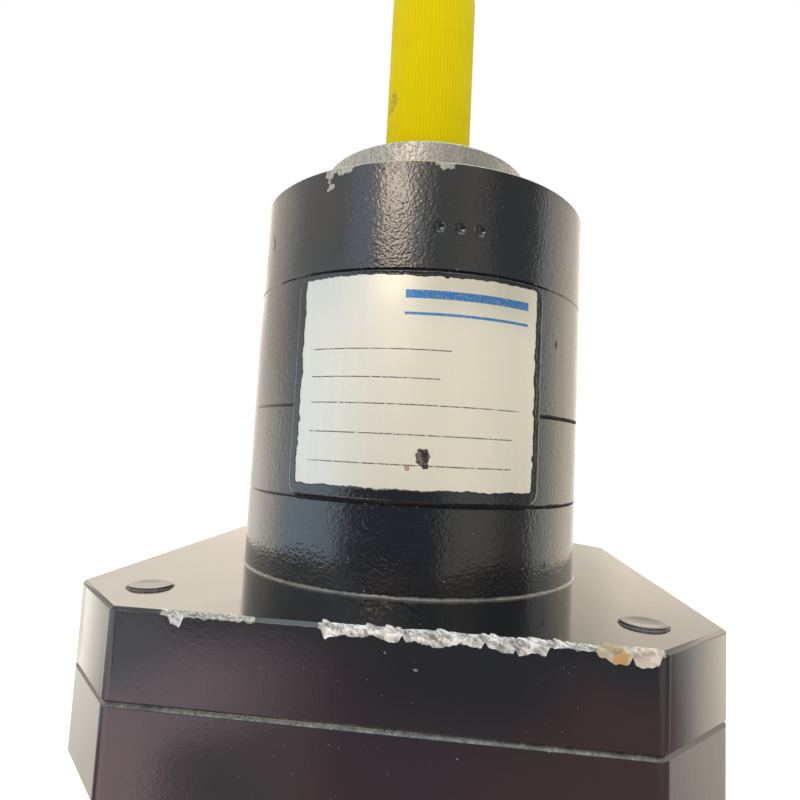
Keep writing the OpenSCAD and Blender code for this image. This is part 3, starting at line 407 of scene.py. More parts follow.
# Start, end, spacing, length, thickness, drop below the top face and rise over it, in millimetres
BURRS = (
    (-34.4, -19.8, 0.7, 2.0, 0.30, 0.1, 0.03), (-8.3, 4.6, 0.8, 2.8, 0.85, 1.1, 0.3),
    (4.4, 17.2, 0.75, 3.0, 0.95, 1.3, 0.3), (17.0, 21.8, 0.8, 2.6, 0.75, 0.8, 0.15),
    (21.4, 26.6, 0.75, 3.0, 0.95, 1.4, 0.3), (26.4, 33.0, 0.7, 2.6, 0.5, 0.25, 0.08),
    (33.2, 38.2, 0.6, 2.2, 0.95, 1.3, 0.25), (38.6, 42.4, 0.55, 1.8, 0.9, 1.15, 0.25),
)
# Colour of settled dust, of a dark nick and of painted shade in the seams' gaps, and of bare metal that has
# gone dull, which on the bead stands partly for painted reflection
DUST = (0.26, 0.25, 0.22)
NICK_AND_GAP_SHADE = (0.004, 0.004, 0.004)
DULL_METAL_AND_SHEEN = (0.56, 0.55, 0.51)
# Rise of a run of paint, depth of a nick, height of bare metal's grain and depth of the bare metal
# under the coat, in millimetres
RUN_RISE, NICK_DEPTH, GRAIN_HEIGHT, COAT_DEPTH = 0.1, 0.4, 0.06, 0.12


def enamel_base(paint, coat, dust_share):
    """Colour, roughness and height of the sprayed enamel."""
    tone = paint.noise(35 * MM, 1.0).ramp(0.42, 0.58)
    share = coat.dust * dust_share
    dust = union([paint.shared("Dust Specks", Scale=scale, Share=share) for scale in (600.0, 1300.0)])
    colour = paint.mix(dust * 0.7, paint.mix(tone, coat.black, coat.brown_black), DUST)
    gloss = paint.noise(14 * MM, 3.0).ramp(0.3, 0.75, coat.gloss_low, coat.gloss_high)
    peel = paint.shared("Orange Peel", Scale=1 / coat.peel_size)
    return colour, gloss + dust * 0.3, peel + dust * 0.6


def bare_base(paint):
    """Colour, roughness and height of coarsely machined aluminium."""
    grain = paint.shared("Metal Grain", Scale=2400.0, Stretch=0.12)
    colour = paint.mix(grain.ramp(0.25, 0.7), (0.13, 0.125, 0.11), (0.47, 0.455, 0.40))
    return colour, grain.ramp(0.35, 0.6, 0.55, 0.36), grain


def enamel(name, coat, extra=None, peel=1.0, gleam=1.0, dust=1.0, shine=1.0):
    """Black enamel; extra gives masks of bare metal, which on the bead is partly painted reflection, of dark
    nicks with painted shade in the seams' gaps, and of raised paint.

    Peel, dust and shine are shares of the coat's, and gleam is how metallic the bare spots are."""
    paint = Paint(name, coat.shine * shine)
    colour, roughness, height = enamel_base(paint, coat, dust)
    height = height * (coat.peel_depth / MM * peel)
    metallic = 0.0
    bare, nicks, raised = extra(paint) if extra else (None, None, None)
    if raised is not None:
        height = height + raised * RUN_RISE
    # Dark nicks, and painted shade in the seams' gaps
    if nicks is not None:
        colour = paint.mix(nicks, colour, NICK_AND_GAP_SHADE)
        height = height - nicks * NICK_DEPTH
        roughness = paint.value(nicks, roughness, 0.9)
    if bare is not None:
        metal_colour, metal_roughness, metal_height = bare_base(paint)
        if gleam < 1:
            # Paler, duller metal; on the bead it stands partly for painted reflection
            metal_colour = paint.mix((1 - gleam) * 0.6, metal_colour, DULL_METAL_AND_SHEEN)
        colour = paint.mix(bare, colour, metal_colour)
        roughness = paint.value(bare, roughness, metal_roughness)
        height = paint.value(bare, height, metal_height * GRAIN_HEIGHT - COAT_DEPTH)
        metallic = bare * gleam
    return paint.finish(colour, roughness, metallic, height, MM)


def powder_coat():
    """Satin black of the motor's casing, finely grained, with rubbed edges."""
    paint = Paint("casing_coat")
    cloud = paint.noise(30 * MM, 3.0)
    dust = paint.shared("Dust Specks", Scale=500.0, Share=0.04)
    worn = plate_marks(paint)[0]
    colour = paint.mix(cloud, (0.010, 0.011, 0.012), (0.017, 0.016, 0.016))
    colour = paint.mix(worn, paint.mix(dust * 0.6, colour, DUST), (0.45, 0.44, 0.42))
    roughness = cloud.ramp(0.3, 0.7, 0.34, 0.46)
    return paint.finish(colour, roughness, worn, paint.noise(0.45 * MM, 2.0), 0.025 * MM)


def flange_marks(paint):
    """Bare pilot, chipped edge, nicks and runs of the flange ring."""
    x, y, level = paint.split()
    radius = paint.vector("LENGTH", paint.level_vector(x, y))
    torn = paint.noise(1.1 * MM, 3.0) - 0.5
    within = (radius + torn * (1.2 * MM)).ramp(PILOT_R + 0.6 * MM, PILOT_R + 0.5 * MM)
    pilot = within * level.ramp(-0.3 * MM, -0.2 * MM)
    rim = (level + torn * (0.7 * MM)).ramp(-0.16 * MM, -0.1 * MM)
    on_rim = rim * radius.ramp(BODY_R - 0.7 * MM, BODY_R - 0.4 * MM)
    bare = pilot | paint.spots(BODY_R, RING_CHIPS, 1.35) | on_rim
    return bare, paint.spots(BODY_R, RING_NICKS, 0.5), paint.spots(BODY_R, PAINT_RUNS, 0.5)


def seam_marks(paint):
    """Thin worn line on each ring's edges, painted shade in each seam's gap, wide on the right, and nicks."""
    x, _, level = paint.split()
    torn = paint.noise(1.5 * MM, 3.0)
    # Painted shade in each seam's gap: a dark line, widened on the right
    width = torn * x.ramp(18 * MM, 30 * MM) * (0.6 * MM)
    gap_shade = [(abs(level - (seam + 0.25 * MM)) - width).ramp(0.04 * MM, -0.04 * MM) for seam in RING_LEVELS]
    lines = [abs(level - (seam - 0.2 * MM)).ramp(0.16 * MM, 0.06 * MM) for seam in RING_LEVELS]
    worn = union(lines) * torn.ramp(0.66, 0.72)
    return worn, union([paint.spots(BODY_R, RING_NICKS, 0.5), *gap_shade]), None


def plate_marks(paint):
    """Bare flecks along the square plates' edges, and a dusty line just below the adapter plate."""
    x, y, level = paint.split()
    foot = low("motor_flange", Z)
    begin, full = 0.7 * MM, 0.3 * MM
    outer = (abs(x) | abs(y)).ramp(PLATE_HALF - begin, PLATE_HALF - full)
    ends = level.ramp(PLATE_TOP - begin, PLATE_TOP - full) | level.ramp(foot + begin, foot + full)
    torn = paint.noise(4 * MM, 4.0).ramp(0.63, 0.66)
    seam = abs(level - (PLATE_FOOT - 0.25 * MM)).ramp(0.4 * MM, 0.2 * MM)
    dusty = paint.noise(3 * MM, 3.0).ramp(0.35, 0.65, 0.1, 0.45)
    return outer * ends * torn | seam * outer * dusty, None, None


def screw_marks(paint):
    """Dull bare-metal colour on the screw ends, from the plate's top up to about a quarter millimetre over
    it.
    """
    level = paint.split()[Z]
    return level.ramp(PLATE_TOP + 0.34 * MM, PLATE_TOP + 0.22 * MM, 0.0, 0.55), None, None


def broken_plate_marks(paint):
    """Flecks on the plate's edges, bare metal along its broken front edge, and grit by the rings."""
    x, y, level = paint.split()
    torn = paint.noise(1.3 * MM, 4.0) - 0.5
    near_front = (torn * (0.8 * MM) + y).ramp(-PLATE_HALF + 0.75 * MM, -PLATE_HALF + 0.65 * MM)
    near_top = (torn * (1.1 * MM) + level).ramp(PLATE_TOP - 0.85 * MM, PLATE_TOP - 0.75 * MM)
    ends = torn * (1.5 * MM) + x
    stretches = [ends.stripe((start + end) / 2 * MM, (end - start) / 2 * MM, 0.2 * MM)
                 for start, end in (CHIPPED[0][:2], (CHIPPED[2][0], CHIPPED[-1][1]))]
    fleck = paint.shared("Ragged Spot", Centre=(6.6 * MM, -PLATE_HALF, -90.4 * MM),
                         Reach=(0.34 * MM, 0.34 * MM, 0.22 * MM), Tear=1.2)
    radius = paint.vector("LENGTH", paint.level_vector(x, y))
    patches = paint.noise(4 * MM, 3.0).ramp(0.4, 0.55)
    grit = paint.shared("Dust Specks", Scale=520.0, Share=0.7) * patches
    grit = grit * radius.ramp(BODY_R + 11 * MM, BODY_R + 3 * MM)
    bare = plate_marks(paint)[0] | near_front * near_top * union(stretches) | grit * 0.6 | fleck
    return bare, None, grit * 0.5


def bead_dust_and_sheen(paint):
    """Pale patches on the bead: dust, and painted reflection of the bright light above it."""
    return paint.noise(3 * MM, 3.0).ramp(0.3, 0.65, 0.1, 0.3), None, None


def broken_metal():
    """Bright crushed aluminium in the chips, with painted shade in the hollows of its strands and a little
    rust near one end.
    """
    paint = Paint("broken_aluminium")
    leaned = paint.add("ShaderNodeMapping", {"Vector": paint.point, "Rotation": (0.0, -0.6, 0.0)})
    strands = paint.noise(0.9 * MM, 2.0, (0.3, 1.0, 1.0), leaned)
    # Tone partly random, partly painted shade: darker where the strands' bump is low
    tone = paint.value(0.35, strands, paint.noise(0.5 * MM, 2.0)).ramp(0.34, 0.6)
    colour = paint.mix(tone, (0.24, 0.24, 0.235), (0.76, 0.76, 0.745))
    blotch = paint.noise(2.0 * MM, 3.0)
    from_dirt = paint.spread((35.4 * MM, -PLATE_HALF, PLATE_TOP - 0.7 * MM), (3.6 * MM, 3 * MM, 3 * MM))
    dirt = from_dirt.ramp(1.1, 0.4) * blotch.ramp(0.25, 0.6, 0.5, 1.0)
    from_rust = paint.spread((37.0 * MM, -PLATE_HALF, PLATE_TOP - 1.7 * MM), (1.9 * MM, 3 * MM, 1.5 * MM))
    rust = from_rust.ramp(1.1, 0.2) * blotch.ramp(0.25, 0.55, 0.4, 0.95)
    pink = paint.split()[X].ramp(37.6 * MM, 39.4 * MM) * 0.7
    for mask, stain in ((dirt, (0.44, 0.37, 0.23)), (rust, (0.52, 0.30, 0.10)), (pink, (0.62, 0.52, 0.45))):
        colour = paint.mix(mask, colour, stain)
    metallic = (1.0 - (dirt | pink)) * 0.3 + 0.15
    return paint.finish(colour, 0.46, metallic, strands, 0.1 * MM)


def yellow_plastic(name, hue, groove_radius=None, scuffs=()):
    """Dyed plastic with painted shade deep in the grooves, and brown rubbed spots."""
    paint = Paint(name, shine=0.04)
    cloud = paint.noise(9 * MM, 3.0)
    colour = paint.mix(cloud, hue.yellow, hue.deep_yellow)
    if groove_radius is not None:
        radius = paint.vector("LENGTH", paint.vector("MULTIPLY", paint.point, (1.0, 1.0, 0.0)))
        # Painted shade: darker deep in the grooves between the ribs
        groove_shade = radius.ramp(groove_radius, groove_radius - 0.16 * MM)
        colour = paint.mix(groove_shade * 0.6, colour, hue.groove_shade)
    if scuffs:
        streak = paint.noise(1.0 * MM, 3.0).ramp(0.3, 0.6)
        rubbed = paint.spots(SLEEVE_R, scuffs, 1.6) * (streak * 0.75)
        colour = paint.mix(rubbed, colour, hue.scuff)
    height = paint.noise(0.6 * MM, 3.0, (1, 1, 0.15))
    return paint.finish(colour, cloud.ramp(0.3, 0.7, 0.42, 0.55), 0.0, height, 0.05 * MM)


# Dark and light colour, streak size in millimetres, streak stretch and least roughness
TURNED_METALS = {
    "ground_steel": ((0.42, 0.43, 0.45), (0.66, 0.66, 0.67), 0.8, (0.3, 0.3, 2.0), 0.2),
    "bearing_steel": ((0.48, 0.49, 0.51), (0.72, 0.72, 0.73), 0.5, (1, 1, 2), 0.14),
    "bearing_brass": ((0.42, 0.26, 0.10), (0.68, 0.48, 0.22), 1.0, (1, 1, 0.5), 0.26),
    "gear_steel": ((0.20, 0.20, 0.21), (0.42, 0.42, 0.43), 0.7, (1, 1, 0.1), 0.26),
    "black_oxide_steel": ((0.05, 0.05, 0.055), (0.34, 0.34, 0.35), 0.5, (1, 1, 1), 0.3),
    "encoder_parts": ((0.35, 0.36, 0.38), (0.6, 0.6, 0.6), 0.6, (1, 1, 1), 0.2),
    "encoder_case": ((0.10, 0.10, 0.11), (0.2, 0.2, 0.21), 1.5, (1, 1, 1), 0.4),
    "socket_alloy": ((0.38, 0.37, 0.36), (0.62, 0.61, 0.59), 1.2, (1, 1, 0.1), 0.28),
}


def turned_metal(name):
    """Machined metal with the streaks that the table gives it."""
    dark, light, size, stretch, gloss = TURNED_METALS[name]
    paint = Paint(name)
    streaks = paint.noise(size * MM, 4.0, stretch)
    tone = (streaks + paint.noise(12 * MM, 2.0) * 0.3).ramp(0.45, 0.85)
    roughness = streaks.ramp(0.3, 0.7, gloss, gloss + 0.18)
    return paint.finish(paint.mix(tone, dark, light), roughness, 1.0, streaks, 0.01 * MM)


def moulded_rubber():
    paint = Paint("seal_rubber")
    skin = paint.noise(0.4 * MM, 3.0)
    colour = paint.mix(skin, (0.035, 0.022, 0.016), (0.06, 0.04, 0.03))
    return paint.finish(colour, skin.ramp(0.3, 0.7, 0.5, 0.7), 0.0, skin, 0.02 * MM)


def wound_copper():
    """Lacquered wire, laid in turns round the axis."""
    paint = Paint("winding_copper")
    turns = paint.add("ShaderNodeTexWave", {"Vector": paint.point, "Scale": 420.0, "Distortion": 1.5},
                      "Fac", bands_direction="Z")
    colour = paint.mix(turns, (0.20, 0.05, 0.015), (0.62, 0.27, 0.10))
    return paint.finish(colour, 0.3, 0.9, turns, 0.1 * MM)


def stacked_iron(name, tone):
    """Laminations seen from the side."""
    paint = Paint(name)
    sheets = paint.add("ShaderNodeTexWave", {"Vector": paint.point, "Scale": 320.0}, "Fac",
                       bands_direction="Z")
    colour = paint.mix(sheets, [tone * 0.6] * 3, [tone] * 3)
    colour = paint.mix(paint.noise(8 * MM, 3.0).ramp(0.55, 0.8), colour, (0.16, 0.10, 0.06))
    return paint.finish(colour, 0.45, 0.9, sheets, 0.03 * MM)


def printed_foil(label):
    """Silver foil with painted light, cool grey on the left and warm cream further right, plain bars and
    ruled lines; it reads the piece's own map.
    """
    paint = Paint("silver_foil")
    spread = paint.add("ShaderNodeUVMap", output="UV", uv_map="foil")
    across, up, _ = paint.split(spread)
    # Painted light: cool grey on the left, warming to cream across the middle and right as the warm lamp
    # would light it
    colour = paint.mix(across.ramp(0.1, 0.5), (0.68, 0.71, 0.68), (0.77, 0.755, 0.635))
    colour = paint.mix(across.ramp(0.6, 1.0), colour, (0.76, 0.735, 0.60))
    drawn = paint.add("ShaderNodeMapping", {"Vector": spread, "Scale": (3.0, 0.12, 1.0)})
    streaks = paint.waves(9.0, drawn, Detail=2.0).ramp(0.4, 0.8) * 0.45
    scratches = paint.shared("Hair Scratches", Scale=90.0) * 0.3
    ink = ruled_lines(across, up, label)
    worn_print = paint.noise(0.35 * MM, 3.0).ramp(0.34, 0.5)
    bars = plain_bars(across, up) * (worn_print * 0.3 + 0.7)
    hole = paint.spots(FOIL_R, FOIL_HOLE, 0.9)
    bruise = paint.mix(paint.noise(0.8 * MM, 3.0).ramp(0.42, 0.62), (0.035, 0.032, 0.028), (0.17, 0.15, 0.12))
    stain = paint.spots(FOIL_R, FOIL_STAIN, 0.8) * 0.7
    for mask, tint in ((streaks, (0.80, 0.78, 0.69)), (scratches, (0.86, 0.84, 0.76)),
                       (ink * worn_print, (0.10, 0.10, 0.10)), (bars, label.band), (hole, bruise),
                       (stain, (0.35, 0.17, 0.06))):
        colour = paint.mix(mask, colour, tint)
    fine = paint.noise(0.25 * MM, 2.0, (1, 1, 0.3))
    metallic = (1.0 - (ink | hole)) * up.ramp(0.72, 0.95, 0.2, 0.5)
    return paint.finish(colour, fine.ramp(0.3, 0.7, 0.3, 0.4), metallic, fine, 0.006 * MM)


def ruled_lines(across, up, label):
    """Thin level lines such as a blank form has."""
    return union([up.stripe(row, 0.0022, 0.0012) * across.stripe((start + end) / 2, (end - start) / 2, 0.002)
                  for row, (start, end) in zip(label.rows(), label.row_ends())])


def plain_bars(across, up):
    """Plain coloured bars near the top right of the foil."""
    return union([up.stripe(row, half, 0.003) * across.stripe(0.69, 0.25, 0.003)
                  for row, half in ((0.905, 0.018), (0.815, 0.005))])


# Mesh building


def link_piece(name, mesh):
    piece = bpy.data.objects.new(name, mesh)
    bpy.context.scene.collection.objects.link(piece)
    return piece


def mesh_object(name, verts, faces, material, smooth=True):
    """A piece at the origin, from points in metres and faces."""
    mesh = bpy.data.meshes.new(name)
    mesh.from_pydata([tuple(v) for v in verts], [], faces)
    mesh.materials.append(material)
    for polygon in mesh.polygons:
        polygon.use_smooth = smooth
    return link_piece(name, mesh)


def outward(piece):
    """Make every face of a closed piece point outwards."""
    shape = bmesh.new()
    shape.from_mesh(piece.data)
    bmesh.ops.remove_doubles(shape, verts=shape.verts, dist=1e-7)
    bmesh.ops.recalc_face_normals(shape, faces=shape.faces)
    shape.to_mesh(piece.data)
    shape.free()


def ring_faces(count, rows):
    """Quads between closed rows of count points; the last row joins the first."""
    faces = []
    for row in range(rows):
        a, b = row * count, ((row + 1) % rows) * count
        for k in range(count):
            after = (k + 1) % count
            faces.append((a + k, a + after, b + after, b + k))
    return faces


def fix_mesh(piece):
    """Turn the piece's modifiers into plain mesh."""
    graph = bpy.context.evaluated_depsgraph_get()
    mesh = bpy.data.meshes.new_from_object(piece.evaluated_get(graph))
    mesh.name = piece.name
    piece.modifiers.clear()
    piece.data = mesh
    return piece


def grown(tree, name, values):
    """A piece made by a geometry tree, with the tree's inputs set by name."""
    piece = link_piece(name, bpy.data.meshes.new(name))
    modifier = piece.modifiers.new("Grow", "NODES")
    modifier.node_group = tree
    for item in tree.interface.items_tree:
        if item.in_out == "INPUT" and item.name in values:
            modifier[item.identifier] = values[item.name]
    piece.update_tag()
    bpy.context.view_layer.update()
    return fix_mesh(piece)


def polar_offset(group, depth, count, inside):
    """Offset towards the axis that makes count rounded ribs outside the inside radius."""
    x, y, _ = group.split(group.add("GeometryNodeInputPosition"))
    wave = group.calc("COSINE", group.calc("ARCTAN2", y, x) * count)
    valley = group.calc("POWER", group.calc("MULTIPLY_ADD", wave, -0.5, 0.5), 2.0)
    flat = group.level_vector(x, y)
    outer = group.calc("GREATER_THAN", group.vector("LENGTH", flat), inside)
    amount = (valley * outer) * (depth * -1.0)
    return group.add("ShaderNodeVectorMath", {"Vector": group.vector("NORMALIZE", flat), "Scale": amount},
                     operation="SCALE")


def ribbed_tube_tree():
    """A thin tube round Z with fine ribs outside."""
    group = Group("Ribbed Tube", {"Ribs": 60, "Radius": 0.011, "Wall": 0.001, "Length": 0.05, "Base": 0.0,
                                  "Rib Depth": 0.0003, "Material": None}, "Geometry")
    given, add = group.given, group.add
    mid_radius = group.calc("MULTIPLY_ADD", given["Wall"], -0.5, given["Radius"])
    path = add("GeometryNodeCurvePrimitiveCircle", {"Resolution": given["Ribs"] * 8.0, "Radius": mid_radius})
    section = add("GeometryNodeCurvePrimitiveQuadrilateral",
                  {"Width": given["Wall"], "Height": given["Length"]})
    rounded = add("GeometryNodeFilletCurve", {"Curve": section, "Radius": 0.2 * MM, "Count": 3}, mode="POLY")
    divided = add("GeometryNodeSubdivideCurve", {"Curve": rounded, "Cuts": 1})
    tube = add("GeometryNodeCurveToMesh", {"Curve": path, "Profile Curve": divided})
    offset = polar_offset(group, given["Rib Depth"], given["Ribs"], mid_radius)
    ribbed = add("GeometryNodeSetPosition", {"Geometry": tube, "Offset": offset})
    lift = group.calc("MULTIPLY_ADD", given["Length"], 0.5, given["Base"])
    moved = add("GeometryNodeTransform",
                {"Geometry": ribbed, "Translation": add("ShaderNodeCombineXYZ", {"Z": lift})})
    return group.close_solid(add("GeometryNodeSetShadeSmooth", {"Geometry": moved}))


def grip_ribs_tree():
    """Upright rounded ribs round an axis at the given place."""
    group = Group("Grip Ribs", {"Count": 24, "Radius": 0.01, "Rib": 0.0004, "Height": 0.008,
                                "Place": (0.0, 0.0, 0.0), "Material": None}, "Geometry")
    given, add = group.given, group.add
    circle = add("GeometryNodeMeshCircle", {"Vertices": given["Count"], "Radius": given["Radius"]})
    rib = add("GeometryNodeMeshCylinder", {"Vertices": 8, "Radius": given["Rib"], "Depth": given["Height"]})
    copies = add("GeometryNodeInstanceOnPoints", {"Points": circle, "Instance": rib})
    moved = add("GeometryNodeTransform", {"Geometry": copies, "Translation": given["Place"]})
    return group.close_solid(moved)


def base_screws_tree():
    """Hexagon socket screws at the corners of squares that face +Y."""
    group = Group("Base Screws", {"Head Radius": 0.0026, "Head Height": 0.0012, "Key": 0.0013,
                                  "Square": 0.02, "First": (0.0, 0.0, 0.0), "Step": (0.0, 0.0, 0.0),
                                  "Material": None}, "Geometry")
    given, add = group.given, group.add
    towards_y = (-math.pi / 2, 0.0, 0.0)
    head, recess = (add("GeometryNodeMeshCylinder",
                        {"Vertices": sides, "Radius": given[radius], "Depth": given["Head Height"]})
                    for sides, radius in ((24, "Head Radius"), (6, "Key")))
    lift = add("ShaderNodeCombineXYZ", {"Z": given["Head Height"] * 0.4})
    raised = add("GeometryNodeTransform", {"Geometry": recess, "Translation": lift})
    screw = add("GeometryNodeMeshBoolean", {"Mesh 1": head, "Mesh 2": raised}, operation="DIFFERENCE")
    square = add("GeometryNodeMeshGrid", {"Size X": given["Square"], "Size Y": given["Square"],
                                          "Vertices X": 2, "Vertices Y": 2})
    faced = add("GeometryNodeTransform", {"Geometry": square, "Rotation": towards_y})
    centres = add("GeometryNodeMeshLine",
                  {"Count": 2, "Start Location": given["First"], "Offset": given["Step"]})
    squares = add("GeometryNodeInstanceOnPoints", {"Points": centres, "Instance": faced})
    points = add("GeometryNodeRealizeInstances", {"Geometry": squares})
    return group.close_solid(add("GeometryNodeInstanceOnPoints",
                                 {"Points": points, "Instance": screw, "Rotation": towards_y}))


# Sizes and colours that a user would change


def colour_of(label, note, default):
    return FloatVectorProperty(name=label, description=note, subtype="COLOR", size=3, default=default)


def length_of(label, note, millimetres):
    return FloatProperty(name=label, description=note, default=millimetres * MM, unit="LENGTH")


def share_of(label, note, default):
    return FloatProperty(name=label, description=note, default=default, min=0, max=1)


def strength_of(label, note, default):
    return FloatProperty(name=label, description=note, default=default, min=0)


class EnamelCoat(bpy.types.PropertyGroup):
    black: colour_of("Black", "Cool side of the enamel's colour", (0.008, 0.011, 0.014))
    brown_black: colour_of("Brown black", "Warm side of the enamel's colour", (0.015, 0.012, 0.013))
    shine: share_of("Shine", "Strength of the enamel's reflection", 1.0)
    gloss_low: share_of("Least roughness", "Roughness where the coat is glossiest", 0.08)
    gloss_high: share_of("Most roughness", "Roughness where the coat is dull", 0.15)
    peel_size: length_of("Peel size", "Width of one wave of the orange peel", 0.8)
    peel_depth: length_of("Peel depth", "Depth of the orange peel", 0.12)
    plate_peel: share_of("Plate peel", "Share of the orange peel on flat plates", 0.12)
    dust: share_of("Dust", "Share of cells that hold a speck", 0.05)


class PunchSizes(bpy.types.PropertyGroup):
    count: IntProperty(name="Marks", description="Number of punch marks in the row", default=3, min=1)
    middle: FloatProperty(name="Middle", description="Azimuth of the row's middle",
                          default=math.radians(-75.2), unit="ROTATION")
    level: length_of("Level", "Height of the row", -13.4)
    pitch: length_of("Pitch", "Distance between marks", 4.1)
    ball: length_of("Ball", "Radius of the punch's round end", 2.0)
    depth: length_of("Depth", "Depth of a mark", 0.5)


class SleeveSizes(bpy.types.PropertyGroup):
    ribs: IntProperty(name="Ribs", description="Number of fine ribs", default=76, min=8)
    rib_depth: length_of("Rib depth", "Depth of the grooves between ribs", 0.08)
    wall: length_of("Wall", "Wall of the sleeve", 1.05)
    yellow: colour_of("Yellow", "Light side of the plastic", (0.74, 0.635, 0.0005))
    deep_yellow: colour_of("Deep yellow", "Dark side of the plastic", (0.66, 0.54, 0.001))
    # Colour of the painted shade deep in the grooves
    groove_shade: colour_of("Groove", "Colour deep in the grooves", (0.46, 0.38, 0.001))
    scuff: colour_of("Scuff", "Colour of the rubbed spots", (0.26, 0.22, 0.10))


class LabelSizes(bpy.types.PropertyGroup):
    side: length_of("Side border", "Painted border at each side of the foil", 1.85)
    top: length_of("Top border", "Painted border above the foil", 0.8)
    foot: length_of("Foot border", "Painted border under the foil", 2.5)
    band: colour_of("Bars", "Colour of the plain bars", (0.05, 0.22, 0.55))

    def rows(self):
        """Heights of the ruled lines, as shares of the foil."""
        return (0.65, 0.52, 0.40, 0.265, 0.13)

    def row_ends(self):
        """Start and end of each ruled line, as shares of the foil."""
        return ((0.07, 0.62), (0.07, 0.58), (0.07, 0.91), (0.07, 0.88), (0.07, 0.88))


class ChipSizes(bpy.types.PropertyGroup):
    step: length_of("Step", "Distance between cuts along the edge", 0.16)
    lump: length_of("Lump", "Length of one dent along the edge", 3.2)
    slant: strength_of("Slant", "How far a dent leans along the edge as it runs down", 1.3)


class StageLook(bpy.types.PropertyGroup):
    key: strength_of("Key", "Brightness of the window that the coat reflects", 5.2)
    unseen_key: strength_of("Unseen window", "Brightness of the one it does not reflect", 4.4)
    fill: strength_of("Fill", "Brightness of the card overhead", 1.1)
    soft: strength_of("Soft", "Light from all round", 0.85)


# Stage


def set_camera(scene):
    lens = bpy.data.cameras.new("camera")
    lens.sensor_fit = "HORIZONTAL"
    lens.sensor_width = SENSOR_WIDTH
    lens.lens = LENS
    lens.clip_start = 5 * MM
    camera = bpy.data.objects.new("camera", lens)
    camera.location = CAMERA_PLACE
    camera.rotation_euler = [math.radians(a) for a in CAMERA_TURN]
    scene.collection.objects.link(camera)
    scene.camera = camera


# What glossy coats show where no panel is
ROOM_SHADE = (0.24, 0.24, 0.235)
# The point that the room's directions are measured from
ROOM_MIDDLE = (0.0, 0.0, -0.1)
# Soft panels of that room, each laid over the ones before it: azimuth, elevation, half width,
# half height, softness of the sides and softness of the top and foot in degrees, then the colour
ROOM_PANELS = (
    (-90, -45, 180, 29, 0, 4, (0.41, 0.245, 0.28)),
    (-88, -18, 8, 3, 6, 4, (0.14, 0.13, 0.14)),
    (-97, 0, 30, 14, 4, 3, (0.09, 0.115, 0.16)),
    (-46, -8, 14, 12, 10, 8, (0.62, 0.59, 0.52)),
    (-54, 24, 11, 22, 9, 9, (0.60, 0.55, 0.48)),
    (-80, 28, 16, 15, 8, 6, (0.50, 0.49, 0.47)),
    (-158, 24, 36, 24, 10, 10, (0.80, 0.80, 0.78)),
    (-158, -5, 24, 12, 10, 9, (1.12, 1.40, 1.64)),
    (-125, 28, 7, 15, 8, 6, (1.10, 1.18, 1.35)),
    (-102, 30, 16, 14, 6, 4, (1.75, 1.6, 1.45)),
    (-130, -34, 16, 19, 15, 3, (1.60, 1.20, 1.30)),
    (-110, -27, 5, 5, 4, 2, (0.36, 0.35, 0.37)),
    (-122, -15, 4, 3, 4, 2, (0.80, 0.80, 0.84)),
    (90, 10, 84, 82, 12, 8, (1.35, 1.25, 1.10)),
    (31, 0, 14, 19, 10, 8, (1.80, 1.62, 1.29)),
    (10, 4, 7, 16, 6, 8, (1.20, 1.23, 1.16)),
    (158, -8, 16, 12, 12, 8, (2.0, 1.9, 1.7)),
    (90, 14, 28, 14, 10, 10, (1.63, 1.44, 1.19)),
    (82, 14, 4, 14, 4, 10, (1.15, 1.03, 0.85)),
    (112, 24, 16, 12, 12, 3, (2.2, 1.98, 1.68)),
    (0, 90, 180, 35, 0, 12, (1.4, 1.65, 1.75)),
)


def room_colour(graph, direction):
    """Colour of the room in that direction."""
    x, y, z = graph.split(direction)
    heading = graph.vector("NORMALIZE", graph.level_vector(x, y))
    rise = graph.calc("ARCSINE", z)
    colour = ROOM_SHADE
    for azimuth, elevation, half_width, half_height, side_soft, level_soft, tint in ROOM_PANELS:
        mask = abs(rise - math.radians(elevation)).ramp(math.radians(half_height + level_soft),
                                                        math.radians(half_height - level_soft))
        if half_width < 180:
            turn = math.radians(azimuth)
            facing = graph.vector("DOT_PRODUCT", heading, (math.cos(turn), math.sin(turn), 0.0))
            mask = mask * facing.ramp(math.cos(math.radians(half_width + side_soft)),
                                      math.cos(math.radians(half_width - side_soft)))
        colour = graph.mix(mask, colour, tint)
    return colour


def ray_kinds(graph):
    """Masks of glossy rays, and of rays that the camera sees directly or through glass."""
    path = graph.place("ShaderNodeLightPath").outputs
    glossy, camera, through = (Signal(graph, path[f"Is {kind} Ray"])
                               for kind in ("Glossy", "Camera", "Transmission"))
    return glossy, camera | through


def white_floor():
    """A wide white floor that keeps the object's shadow; glossy coats show the room there."""
    paint = Paint("floor", shine=0.0)
    glossy, seen = ray_kinds(paint)
    away = paint.vector("NORMALIZE", paint.vector("SUBTRACT", paint.point, ROOM_MIDDLE))
    glow = paint.mix(glossy, (1.0, 1.0, 1.0), room_colour(paint, away))
    paint.feed(paint.shader.inputs["Emission Color"], glow)
    paint.feed(paint.shader.inputs["Emission Strength"], seen * 0.3 + glossy)
    material = paint.finish(paint.mix(glossy, (0.86, 0.86, 0.86), (0.0, 0.0, 0.0)), 0.9)
    reach = 6.0
    corners = [(-reach, -reach), (reach, -reach), (reach, reach), (-reach, reach)]
    floor = mesh_object("floor", [(x, y, FLOOR_LEVEL) for x, y in corners], [(0, 1, 2, 3)], material, False)


def soft_world(scene, look):
    """White to the camera, and a soft room with a pale far side to glossy coats."""
    world = bpy.data.worlds.new("room")
    world.use_nodes = True
    world.node_tree.nodes.clear()
    graph = Graph(world.node_tree)
    glossy, seen = ray_kinds(graph)
    room = room_colour(graph, graph.add("ShaderNodeTexCoord", output="Generated"))
    colour = graph.mix(seen, graph.mix(glossy, [look.soft] * 3, room), (1.0, 1.0, 1.0))
    shader = graph.add("ShaderNodeBackground", {"Color": colour, "Strength": 1.0})
    graph.place("ShaderNodeOutputWorld", {"Surface": shader})
    scene.world = world


